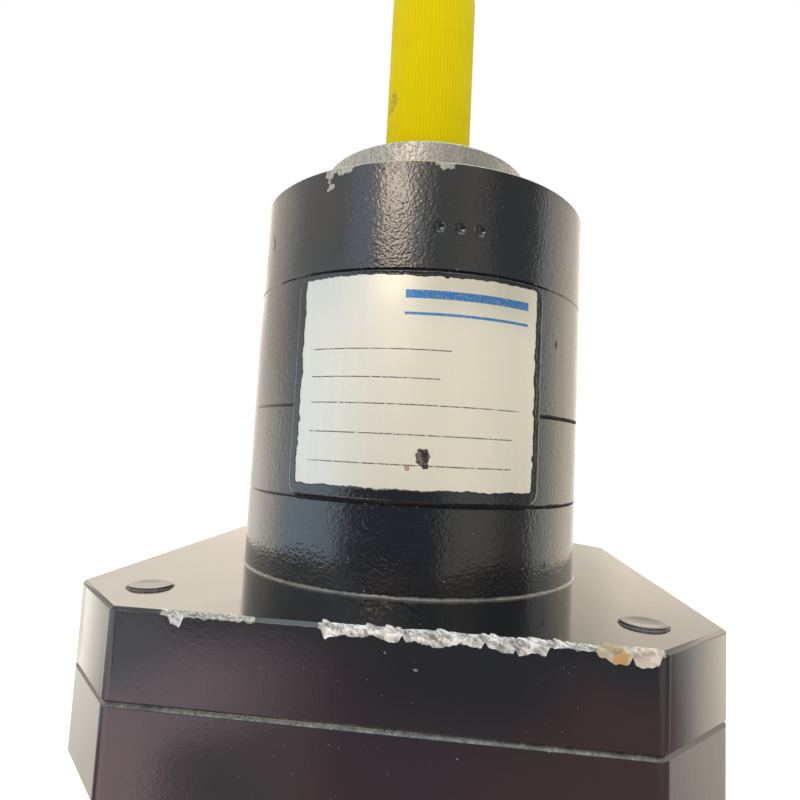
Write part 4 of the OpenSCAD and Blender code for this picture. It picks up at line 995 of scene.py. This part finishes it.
def window(name, azimuth, elevation, distance, size, brightness, colour, reflected=True):
    """A soft rectangular light that faces the rings, placed by its direction in degrees."""
    light = bpy.data.lights.new(name, "AREA")
    light.shape = "RECTANGLE"
    light.size, light.size_y = size
    light.energy = brightness * math.pi * size[0] * size[1]
    light.color = colour
    lamp = bpy.data.objects.new(name, light)
    turn, tilt = math.radians(azimuth), math.radians(elevation)
    away = Vector((math.cos(tilt) * math.cos(turn), math.cos(tilt) * math.sin(turn), math.sin(tilt)))
    target = Vector((0.0, 0.0, RING_LEVELS[0]))
    lamp.location = target + away * distance
    lamp.rotation_euler = away.to_track_quat("Z", "Y").to_euler()
    lamp.visible_camera = False
    lamp.visible_glossy = reflected
    bpy.context.scene.collection.objects.link(lamp)


class GEARMOTOR_OT_stage(bpy.types.Operator):
    """Camera, pale floor and plain studio light"""
    bl_idname = "gearmotor.stage"
    bl_label = "Stage"

    def execute(self, context):
        look = context.scene.gearmotor_stage
        set_camera(context.scene)
        white_floor()
        soft_world(context.scene, look)
        warm = (1.0, 0.80, 0.62)
        window("key_window", -104, 26.5, 1.2, (0.34, 0.32), look.key, warm)
        window("unseen_window", -104, 27, 1.2, (0.32, 0.42), look.unseen_key, warm, False)
        window("top_card", 60, 72, 1.4, (0.9, 0.9), look.fill, (1.0, 0.98, 0.95))
        context.scene.view_settings.view_transform = "Standard"
        return {"FINISHED"}


# Pieces


def paint_node(node, material):
    """Give a carried node its material."""
    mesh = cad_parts[node].data
    mesh.materials.clear()
    mesh.materials.append(material)


def whole_copy(node, name):
    """A closed copy of a carried node's mesh, with its doubles merged."""
    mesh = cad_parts[node].data.copy()
    mesh.name = name
    mesh.materials.clear()
    shape = bmesh.new()
    shape.from_mesh(mesh)
    bmesh.ops.remove_doubles(shape, verts=shape.verts, dist=1e-6)
    shape.to_mesh(mesh)
    shape.free()
    return link_piece(name, mesh)


def cut_away(piece, tool):
    """Cut the tool's volume out of the piece and delete the tool."""
    cut = piece.modifiers.new("Cut", "BOOLEAN")
    cut.operation = "DIFFERENCE"
    cut.solver = "EXACT"
    cut.material_mode = "TRANSFER"
    cut.object = tool
    fix_mesh(piece)
    bpy.data.objects.remove(tool)
    settle_normals(piece.data)


# Faces that meet at more than this angle keep a sharp edge
SHARP_ANGLE = math.radians(28)
# How far apart points of one plane, and the reaches of points on one round wall, may be
SAME_PLANE, SAME_REACH = 0.003 * MM, 0.02 * MM
# The most that the normal of an upright wall may lean, and the least cosine between like normals
MOST_LEAN, LIKE_NORMALS = 0.02, 0.9999
# The least area of a face that makes its plane a wide one
WIDE_FACE = 30 * MM * MM


def settle_normals(mesh):
    """Round faces about Z shade as round, wide flat ones as flat, and the rest smoothly."""
    for polygon in mesh.polygons:
        polygon.use_smooth = True
    mesh.set_sharp_from_angle(angle=SHARP_ANGLE)
    owners = {}
    for polygon in mesh.polygons:
        for key in polygon.edge_keys:
            owners.setdefault(key, set()).add(polygon.material_index)
    for edge in mesh.edges:
        if len(owners[edge.key]) > 1:
            edge.use_edge_sharp = True
    mesh.update()
    normals = [corner.vector.copy() for corner in mesh.corner_normals]
    planes = wide_planes(mesh)
    for polygon in mesh.polygons:
        if polygon.material_index > 0:
            continue
        points = [mesh.vertices[index].co for index in polygon.vertices]
        if is_round(polygon, points):
            middle = polygon.center
            side = 1 if polygon.normal.x * middle.x + polygon.normal.y * middle.y > 0 else -1
            for index, point in zip(polygon.loop_indices, points):
                normals[index] = Vector((point.x, point.y, 0)).normalized() * side
            continue
        for normal, offset in planes:
            if all(abs(point.dot(normal) - offset) < SAME_PLANE for point in points):
                for index in polygon.loop_indices:
                    normals[index] = normal
                break
    mesh.normals_split_custom_set(normals)


def is_round(polygon, points):
    """Whether the face belongs to a wall that is round about Z."""
    reaches = [math.hypot(point.x, point.y) for point in points]
    return abs(polygon.normal.z) < MOST_LEAN and max(reaches) - min(reaches) < SAME_REACH


def wide_planes(mesh):
    """Normal and offset of each plane that holds a wide flat face."""
    planes = []
    for polygon in sorted(mesh.polygons, key=lambda face: -face.area):
        if polygon.area < WIDE_FACE:
            break
        points = [mesh.vertices[index].co for index in polygon.vertices]
        offset = polygon.center.dot(polygon.normal)
        known = any(polygon.normal.dot(normal) > LIKE_NORMALS and abs(offset - at) < SAME_PLANE
                    for normal, at in planes)
        if polygon.material_index == 0 and not known and not is_round(polygon, points):
            planes.append((polygon.normal.copy(), offset))
    return planes


class GEARMOTOR_OT_enamel(bpy.types.Operator):
    """Black enamel on the rings, plates and casings"""
    bl_idname = "gearmotor.enamel"
    bl_label = "Enamel"

    def execute(self, context):
        coat = context.scene.gearmotor_enamel
        ring_material = enamel("ring_enamel", coat, seam_marks)
        for node in ("bearing_ring", "ring_gear"):
            paint_node(node, ring_material)
        paint_node("input_housing", enamel("dusty_enamel", coat, seam_marks, dust=3.0))
        paint_node("motor_flange", enamel("plate_enamel", coat, plate_marks, coat.plate_peel))
        screw_enamel = enamel("screw_enamel", coat, screw_marks, coat.plate_peel, 0.3, shine=0.35)
        paint_node("motor_screws", screw_enamel)
        casing_material = powder_coat()
        for node in CASING_NODES:
            paint_node(node, casing_material)
        return {"FINISHED"}


class GEARMOTOR_OT_sleeve(bpy.types.Operator):
    """Ribbed yellow sleeve over the shaft end"""
    bl_idname = "gearmotor.sleeve"
    bl_label = "Shaft sleeve"

    def execute(self, context):
        sizes = context.scene.gearmotor_sleeve
        material = yellow_plastic("sleeve_plastic", sizes, SLEEVE_R, SLEEVE_SCUFFS)
        sleeve = grown(ribbed_tube_tree(), "ribbed_sleeve", {
            "Ribs": sizes.ribs, "Radius": SLEEVE_R, "Wall": sizes.wall,
            "Length": SLEEVE_HIGH - SLEEVE_LOW, "Base": SLEEVE_LOW,
            "Rib Depth": sizes.rib_depth, "Material": material})
        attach(sleeve, "sleeve")
        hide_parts("shaft_sleeve")
        return {"FINISHED"}


class GEARMOTOR_OT_punched_flange(bpy.types.Operator):
    """Output flange with a row of plain punch marks"""
    bl_idname = "gearmotor.punched_flange"
    bl_label = "Punched flange"

    def execute(self, context):
        marks = context.scene.gearmotor_punch
        coat = context.scene.gearmotor_enamel
        flange = whole_copy("output_flange", "punched_output_flange")
        flange.data.materials.append(enamel("flange_enamel", coat, flange_marks, gleam=0.5))
        mark_paint = enamel("punched_enamel", coat)
        flange.data.materials.append(mark_paint)
        shape = bmesh.new()
        reach = BODY_R + marks.ball - marks.depth
        for k in range(marks.count):
            turn = marks.middle + (k - (marks.count - 1) / 2) * marks.pitch / BODY_R
            centre = (reach * math.cos(turn), reach * math.sin(turn), marks.level)
            bmesh.ops.create_icosphere(shape, subdivisions=4, radius=marks.ball,
                                       matrix=Matrix.Translation(centre))
        tool = mesh_object("punch", [], [], mark_paint)
        shape.to_mesh(tool.data)
        shape.free()
        cut_away(flange, tool)
        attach(flange, "housing")
        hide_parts("output_flange")
        return {"FINISHED"}


def rounded_loop(half_w, half_h, corner, straight, bend):
    """Points and outward directions round a rectangle with round corners."""
    middles = [Vector((sx * (half_w - corner), sy * (half_h - corner)))
               for sx, sy in ((1, -1), (1, 1), (-1, 1), (-1, -1))]
    points = []
    for q in range(4):
        start = math.radians(-90 + 90 * q)
        for k in range(bend + 1):
            a = start + math.pi / 2 * k / bend
            out = Vector((math.cos(a), math.sin(a)))
            points.append((middles[q] + out * corner, out))
        out = Vector((math.cos(start + math.pi / 2), math.sin(start + math.pi / 2)))
        begin, end = (middles[n % 4] + out * corner for n in (q, q + 1))
        for k in range(1, straight):
            points.append((begin.lerp(end, k / straight), out))
    return points


def wrap(arc, level, radius):
    """A point beside the foil's middle, arc metres round the rings."""
    angle = FOIL_MID + arc / BODY_R
    return Vector((radius * math.cos(angle), radius * math.sin(angle), level))


def foil_sheet(material):
    """The foil, a little wavy, with a dent near its foot."""
    columns, rows = 150, 120
    # How far the foil stops short of the plate's edges at each side, at the top and at the foot
    side_gap, top_gap, foot_gap = 1.2 * MM, 0.45 * MM, 1.5 * MM
    half_w = (FOIL_RIGHT - FOIL_LEFT) / 2 * BODY_R - side_gap
    top, foot = FOIL_HIGH - top_gap, FOIL_LOW + foot_gap
    middle, half_h = (top + foot) / 2, (top - foot) / 2
    dent = cylinder_point(FOIL_R, -82.7, -58.6)
    # Reach and depth of the dent, then reach, width and rise of its lip, in millimetres
    dent_reach, dent_depth, lip_reach, lip_width, lip_rise = 1.3, 0.16, 2.1, 0.5, 0.10
    verts, places = [], []
    for j in range(rows + 1):
        for i in range(columns + 1):
            u, v = i / columns, j / rows
            arc, level = (2 * u - 1) * half_w, middle + (2 * v - 1) * half_h
            point = wrap(arc, level, FOIL_R)
            sway = noise.noise(point * 140) * 0.025 * MM
            from_dent = (point - dent).length
            pushed = math.exp(-(from_dent / (dent_reach * MM)) ** 2) * dent_depth * MM
            lip = math.exp(-((from_dent - lip_reach * MM) / (lip_width * MM)) ** 2) * lip_rise * MM
            radius = FOIL_R - 0.02 * MM + sway - pushed + lip * (0.5 + noise.noise(point * 900))
            verts.append(wrap(arc, level, radius))
            places.append((u, v))
    faces = []
    for j in range(rows):
        for i in range(columns):
            a = j * (columns + 1) + i
            faces.append((a, a + 1, a + columns + 2, a + columns + 1))
    foil = mesh_object("label_foil", verts, faces, material)
    layer = foil.data.uv_layers.new(name="foil")
    for loop in foil.data.loops:
        layer.data[loop.index].uv = places[loop.vertex_index]
    shell = foil.modifiers.new("Thickness", "SOLIDIFY")
    shell.thickness = 0.17 * MM
    shell.offset = -1
    return fix_mesh(foil)


def oversprayed_border(label, material):
    """Paint over the foil's rim, raised at the rim and torn on its inner edge."""
    straight, bend = 260, 14
    half_w = (FOIL_RIGHT - FOIL_LEFT) / 2 * BODY_R
    middle, half_h = (FOIL_LOW + FOIL_HIGH) / 2, (FOIL_HIGH - FOIL_LOW) / 2
    inner_middle = (label.foot - label.top) / 2
    inner_half_h = half_h - (label.top + label.foot) / 2
    overlap, outer_corner, inner_corner = 0.25 * MM, 3.0 * MM, 0.5 * MM
    outer = rounded_loop(half_w + overlap, half_h + overlap, outer_corner, straight, bend)
    inner = rounded_loop(half_w - label.side, inner_half_h, inner_corner, straight, bend)
    # Share of the way in, and height over the rings, for each row of the border
    section = ((0.0, -0.02), (0.0, 0.02), (0.10, 0.16), (0.20, 0.30), (0.34, 0.31), (0.5, 0.27),
               (0.8, 0.27), (0.97, 0.27), (1.0, 0.23), (1.0, 0.10))
    verts = []
    for share, height in section:
        for (rim, _), (edge, edge_out) in zip(outer, inner):
            torn = edge + Vector((0, inner_middle)) - edge_out * tear(edge)
            spot = rim.lerp(torn, share)
            ripple = noise.noise(Vector((spot.x, spot.y, 3.0)) * 500) * 0.02 * MM
            verts.append(wrap(spot.x, middle + spot.y, BODY_R + height * MM + ripple))
    border = mesh_object("label_border", verts, ring_faces(len(outer), len(section)), material)
    outward(border)
    return border


def tear(edge):
    """How far the paint's inner edge wanders at that point."""
    at = Vector((edge.x, edge.y, 0.0))
    wide = noise.noise(at * 260) * 0.32
    fine = noise.noise(at * 900 + Vector((0, 0, 5))) * 0.22
    tiny = noise.noise(at * 2600 + Vector((0, 0, 9))) * 0.10
    nib = max(0.0, noise.noise(at * 330 + Vector((0, 0, 20))) - 0.32) * 1.6
    return (wide + fine + tiny + nib) * MM


class GEARMOTOR_OT_type_plate(bpy.types.Operator):
    """Blank silver foil with its oversprayed border"""
    bl_idname = "gearmotor.type_plate"
    bl_label = "Type plate"

    def execute(self, context):
        label = context.scene.gearmotor_label
        foil = foil_sheet(printed_foil(label))
        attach(foil, "housing")
        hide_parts("type_plate")
        border = oversprayed_border(label, enamel("border_enamel", context.scene.gearmotor_enamel))
        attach(border, "housing")
        return {"FINISHED"}


def chip_depths(along):
    """Depth of the damage on the top and front faces at that place along the edge, in metres."""
    top = front = 0.0
    # Length over which a stretch deepens from each end, in millimetres
    run_in = 0.9
    for start, end, on_top, on_front in CHIPPED:
        inside = min(along - start, end - along)
        share = min(1.0, max(0.0, inside / run_in))
        top = max(top, on_top * share)
        front = max(front, on_front * share)
    return top * MM, front * MM


def edge_cutter(chips, material):
    """Lumpy bar along the plate's front edge; what it covers is broken away."""
    first, last = CHIPPED[0][0] * MM, CHIPPED[-1][1] * MM
    count = int((last - first) / chips.step)
    steps = 9
    spare = 0.6 * MM
    verts = []
    for i in range(count + 1):
        along = first + (last - first) * i / count
        top, front = chip_depths(along / MM)
        for k in range(steps):
            verts.append(dented_point(chips, along, top, front, k / (steps - 1)))
        outside = ((-PLATE_HALF - spare, PLATE_TOP - front - spare), (-PLATE_HALF - spare, PLATE_TOP + spare),
                   (-PLATE_HALF + top + spare, PLATE_TOP + spare))
        verts += [(along, y, z) for y, z in outside]
    width = steps + len(outside)
    faces = []
    for i in range(count):
        a, b = i * width, (i + 1) * width
        for k in range(width):
            after = (k + 1) % width
            faces.append((a + k, b + k, b + after, a + after))
    faces.append(tuple(range(width)))
    faces.append(tuple(count * width + k for k in reversed(range(width))))
    cutter = mesh_object("edge_cutter", verts, faces, material, False)
    outward(cutter)
    return cutter


def dented_point(chips, along, top, front, share):
    """A point of the damaged surface, share of the way from the top face down to the front face."""
    lean = along + share * chips.slant * MM
    lump = noise.noise(Vector((lean / chips.lump, 4.0, share * 0.6)))
    fine = noise.noise(Vector((along * 1400, share * 2.5, 2.0)))
    rough = 1.0 + 0.4 * lump + 0.2 * fine
    reach_top, reach_front = top * rough, front * (1.0 + 0.5 * lump + 0.16 * fine)
    angle = share * math.pi / 2
    # A shallow hollow between the two faces, on the inner side of the sharp corner
    y = -PLATE_HALF + reach_top * (1 - math.sin(angle)) ** 1.15
    z = PLATE_TOP - reach_front * (1 - math.cos(angle)) ** 1.15
    outside = 0.05 * MM
    if share == 0:
        z += outside
    if share == 1:
        y -= outside
    sink = 0.18 * MM * math.sin(2 * angle) * (0.5 + lump)
    return (along, y + sink, z - sink)


class GEARMOTOR_OT_chipped_plate(bpy.types.Operator):
    """Adapter plate with its front edge broken away in places"""
    bl_idname = "gearmotor.chipped_plate"
    bl_label = "Chipped plate"

    def execute(self, context):
        coat = context.scene.gearmotor_enamel
        plate = whole_copy("adapter_plate", "chipped_adapter_plate")
        worn = enamel("worn_plate_enamel", coat, broken_plate_marks, coat.plate_peel, 0.6)
        broken = broken_metal()
        plate.data.materials.append(worn)
        plate.data.materials.append(broken)
        cut_away(plate, edge_cutter(context.scene.gearmotor_chips, broken))
        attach(plate, "housing")
        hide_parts("adapter_plate")
        return {"FINISHED"}


def burr_lumps(material):
    """Slanted crumpled lumps along the front edge, each a closed shell."""
    draw = random.Random(5)
    shape = bmesh.new()
    for start, end, spacing, length, thickness, drop, rise in BURRS:
        for k in range(int((end - start) / spacing) + 1):
            along = (start + k * spacing + draw.uniform(-0.3, 0.3)) * MM
            share = draw.random()
            level = PLATE_TOP + (rise - thickness / 2 - share * drop) * MM
            scale = draw.uniform(0.65, 1.2)
            half = Vector((length * scale / 2, thickness * 0.55, thickness * scale / 2)) * MM
            depth = -PLATE_HALF + half.y + draw.uniform(0.02, 0.5) * MM * (1 + share)
            tilt = math.radians(draw.uniform(8, 34)) * min(1.0, thickness / 0.7)
            turn = Matrix.Rotation(tilt, 4, "Y") @ Matrix.Rotation(draw.uniform(-0.3, 0.3), 4, "Z")
            where = Matrix.Translation((along, depth, level)) @ turn @ Matrix.Diagonal((*half, 1.0))
            bmesh.ops.create_icosphere(shape, subdivisions=3, radius=1.0, matrix=where)
    shape.normal_update()
    for vert in shape.verts:
        wide = noise.noise(vert.co * 800) * 0.16 * MM
        fine = noise.noise(vert.co * 2600) * 0.03 * MM
        vert.co += vert.normal * (wide + fine)
        vert.co.y = max(vert.co.y, -PLATE_HALF)
    piece = mesh_object("crushed_edge", [], [], material)
    shape.to_mesh(piece.data)
    shape.free()
    for polygon in piece.data.polygons:
        polygon.use_smooth = True
    return piece


class GEARMOTOR_OT_crushed_edge(bpy.types.Operator):
    """Crumpled bright metal in the plate's broken edge"""
    bl_idname = "gearmotor.crushed_edge"
    bl_label = "Crushed edge"

    def execute(self, context):
        burrs = burr_lumps(bpy.data.materials["broken_aluminium"])
        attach(burrs, "housing")
        return {"FINISHED"}


def paint_bead(material):
    """A hollow fillet of paint round the foot of the rings."""
    count, steps = 480, 7
    size, sunk = 0.62 * MM, 0.1 * MM
    foot = PLATE_TOP - 0.05 * MM
    angles = [math.pi / 2 * k / steps for k in range(steps + 1)]
    section = [(size * (1 - math.sin(angle)), size * (1 - math.cos(angle))) for angle in angles]
    section += [(-sunk, size), (-sunk, 0.0)]
    verts = []
    for out, up in section:
        for i in range(count):
            turn = 2 * math.pi * i / count
            way = Vector((math.cos(turn), math.sin(turn), 0))
            swell = 1 + 0.22 * noise.noise(way * 14) + 0.1 * noise.noise(way * 60)
            radius = BODY_R - 0.02 * MM + (out * swell if out > 0 else out)
            verts.append((way.x * radius, way.y * radius, foot + up * swell))
    bead = mesh_object("paint_bead", verts, ring_faces(count, len(section)), material)
    outward(bead)
    return bead


class GEARMOTOR_OT_paint_bead(bpy.types.Operator):
    """Bead of paint where the rings meet the plate"""
    bl_idname = "gearmotor.paint_bead"
    bl_label = "Paint bead"

    def execute(self, context):
        # The bead's pale patches are dust and painted reflection
        bead = paint_bead(enamel("bead_enamel", context.scene.gearmotor_enamel, bead_dust_and_sheen, gleam=0.0))
        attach(bead, "housing")
        return {"FINISHED"}


class GEARMOTOR_OT_sockets(bpy.types.Operator):
    """Knurled nuts and ribbed caps of the two connectors"""
    bl_idname = "gearmotor.sockets"
    bl_label = "Connectors"

    def execute(self, context):
        metal = turned_metal("socket_alloy")
        plastic = yellow_plastic("cap_plastic", context.scene.gearmotor_sleeve)
        tree = grip_ribs_tree()
        axis_y = (low("power_cap", Y) + high("power_cap", Y)) / 2
        nut_ribs, nut_r, nut_rib, nut_height = 44, 11.0 * MM, 0.38 * MM, 7.6 * MM
        cap_ribs, cap_rib = 30, 0.5 * MM
        for side in ("power", "signal"):
            paint_node(f"{side}_socket", metal)
            paint_node(f"{side}_cap", plastic)
            cap_low, cap_high = low(f"{side}_cap", Z), high(f"{side}_cap", Z)
            cap_r = high(f"{side}_cap", X)
            nut_low = cap_low + 10.2 * MM
            nut = grown(tree, f"{side}_nut_ribs", {
                "Count": nut_ribs, "Radius": nut_r, "Rib": nut_rib, "Height": nut_height,
                "Place": (0.0, axis_y, nut_low + 4.0 * MM), "Material": metal})
            ribs = grown(tree, f"{side}_cap_ribs", {
                "Count": cap_ribs, "Radius": cap_r - 0.1 * MM, "Rib": cap_rib,
                "Height": cap_high - cap_low - 2.4 * MM,
                "Place": (0.0, axis_y, (cap_low + cap_high) / 2), "Material": plastic})
            for piece, finish in ((nut, "socket_alloy"), (ribs, "yellow_plastic")):
                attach(piece, f"{side}_elbow")
        return {"FINISHED"}


class GEARMOTOR_OT_base_screws(bpy.types.Operator):
    """Small screws that hold the connectors' bases"""
    bl_idname = "gearmotor.base_screws"
    bl_label = "Base screws"

    def execute(self, context):
        steel = bpy.data.materials["black_oxide_steel"]
        top = high("socket_bases", Y)
        z_high, z_low = high("socket_bases", Z), low("socket_bases", Z)
        side = high("socket_bases", X) * 2
        first = (0.0, top + 0.3 * MM, z_high - side / 2)
        step = (0.0, 0.0, -(z_high - z_low - side))
        screws = grown(base_screws_tree(), "base_screws", {
            "Head Radius": 2.5 * MM, "Head Height": 1.6 * MM, "Key": 1.35 * MM,
            "Square": side - 6.0 * MM, "First": first, "Step": step, "Material": steel})
        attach(screws, "housing")
        return {"FINISHED"}


# Carried nodes of each turned metal
METAL_NODES = {
    "ground_steel": ("output_shaft", "planet_pins", "clamp_screw", "motor_shaft", "wave_spring"),
    "bearing_steel": ("front_bearing_outer", "front_bearing_inner", "rear_bearing_outer",
                      "rear_bearing_inner", "hub_bearing_outer", "hub_bearing_inner",
                      "drive_bearing_outer", "drive_bearing_inner", "tail_bearing_outer",
                      "tail_bearing_inner"),
    "bearing_brass": ("front_bearing_balls", "rear_bearing_balls", "hub_bearing_balls",
                      "drive_bearing_balls", "tail_bearing_balls", "planet_bushes", "thrust_washers"),
    "gear_steel": ("planet_gear_1", "planet_gear_2", "planet_gear_3", "sun_gear", "carrier_plate",
                   "clamp_hub", "bearing_spacer"),
    "black_oxide_steel": ("snap_rings", "carrier_screws", "ring_screws", "adapter_screws",
                          "motor_tie_bolts", "cover_screws"),
    "encoder_parts": ("encoder_disc",),
    "encoder_case": ("encoder_body",),
}


class GEARMOTOR_OT_metals(bpy.types.Operator):
    """Steel, brass, iron, copper and rubber of the carried nodes"""
    bl_idname = "gearmotor.metals"
    bl_label = "Metals"

    def execute(self, context):
        finishes = [(turned_metal(name), nodes) for name, nodes in METAL_NODES.items()]
        finishes += [(moulded_rubber(), ("shaft_seal", "access_plug")),
                     (wound_copper(), ("stator_windings",)),
                     (stacked_iron("core_iron", 0.45), ("stator_core", "rotor_core")),
                     (stacked_iron("magnet_iron", 0.22), ("rotor_magnets",))]
        for material, nodes in finishes:
            for node in nodes:
                paint_node(node, material)
        return {"FINISHED"}


class GEARMOTOR_PT_finish(bpy.types.Panel):
    """Steps of the finish, in order"""
    bl_label = "Gear motor finish"
    bl_idname = "GEARMOTOR_PT_finish"
    bl_space_type = "VIEW_3D"
    bl_region_type = "UI"
    bl_category = "Gear Motor"

    def draw(self, context):
        for operator in OPERATORS:
            self.layout.operator(operator.bl_idname)


OPERATORS = (
    GEARMOTOR_OT_stage, GEARMOTOR_OT_metals, GEARMOTOR_OT_enamel, GEARMOTOR_OT_chipped_plate,
    GEARMOTOR_OT_crushed_edge, GEARMOTOR_OT_punched_flange, GEARMOTOR_OT_paint_bead,
    GEARMOTOR_OT_type_plate, GEARMOTOR_OT_sleeve, GEARMOTOR_OT_sockets, GEARMOTOR_OT_base_screws,
)
PROPERTY_GROUPS = {
    "gearmotor_enamel": EnamelCoat,
    "gearmotor_sleeve": SleeveSizes,
    "gearmotor_punch": PunchSizes,
    "gearmotor_label": LabelSizes,
    "gearmotor_chips": ChipSizes,
    "gearmotor_stage": StageLook,
}


def register():
    for name, group in PROPERTY_GROUPS.items():
        bpy.utils.register_class(group)
        setattr(bpy.types.Scene, name, PointerProperty(type=group))
    for operator in OPERATORS:
        bpy.utils.register_class(operator)
    bpy.utils.register_class(GEARMOTOR_PT_finish)


def unregister():
    bpy.utils.unregister_class(GEARMOTOR_PT_finish)
    for operator in reversed(OPERATORS):
        bpy.utils.unregister_class(operator)
    for name, group in PROPERTY_GROUPS.items():
        delattr(bpy.types.Scene, name)
        bpy.utils.unregister_class(group)


def main():
    register()
    bpy.ops.gearmotor.stage()
    bpy.ops.gearmotor.metals()
    bpy.ops.gearmotor.enamel()
    bpy.ops.gearmotor.chipped_plate()
    bpy.ops.gearmotor.crushed_edge()
    bpy.ops.gearmotor.punched_flange()
    bpy.ops.gearmotor.paint_bead()
    bpy.ops.gearmotor.type_plate()
    bpy.ops.gearmotor.sleeve()
    bpy.ops.gearmotor.sockets()
    bpy.ops.gearmotor.base_screws()


if __name__ == "__main__":
    main()
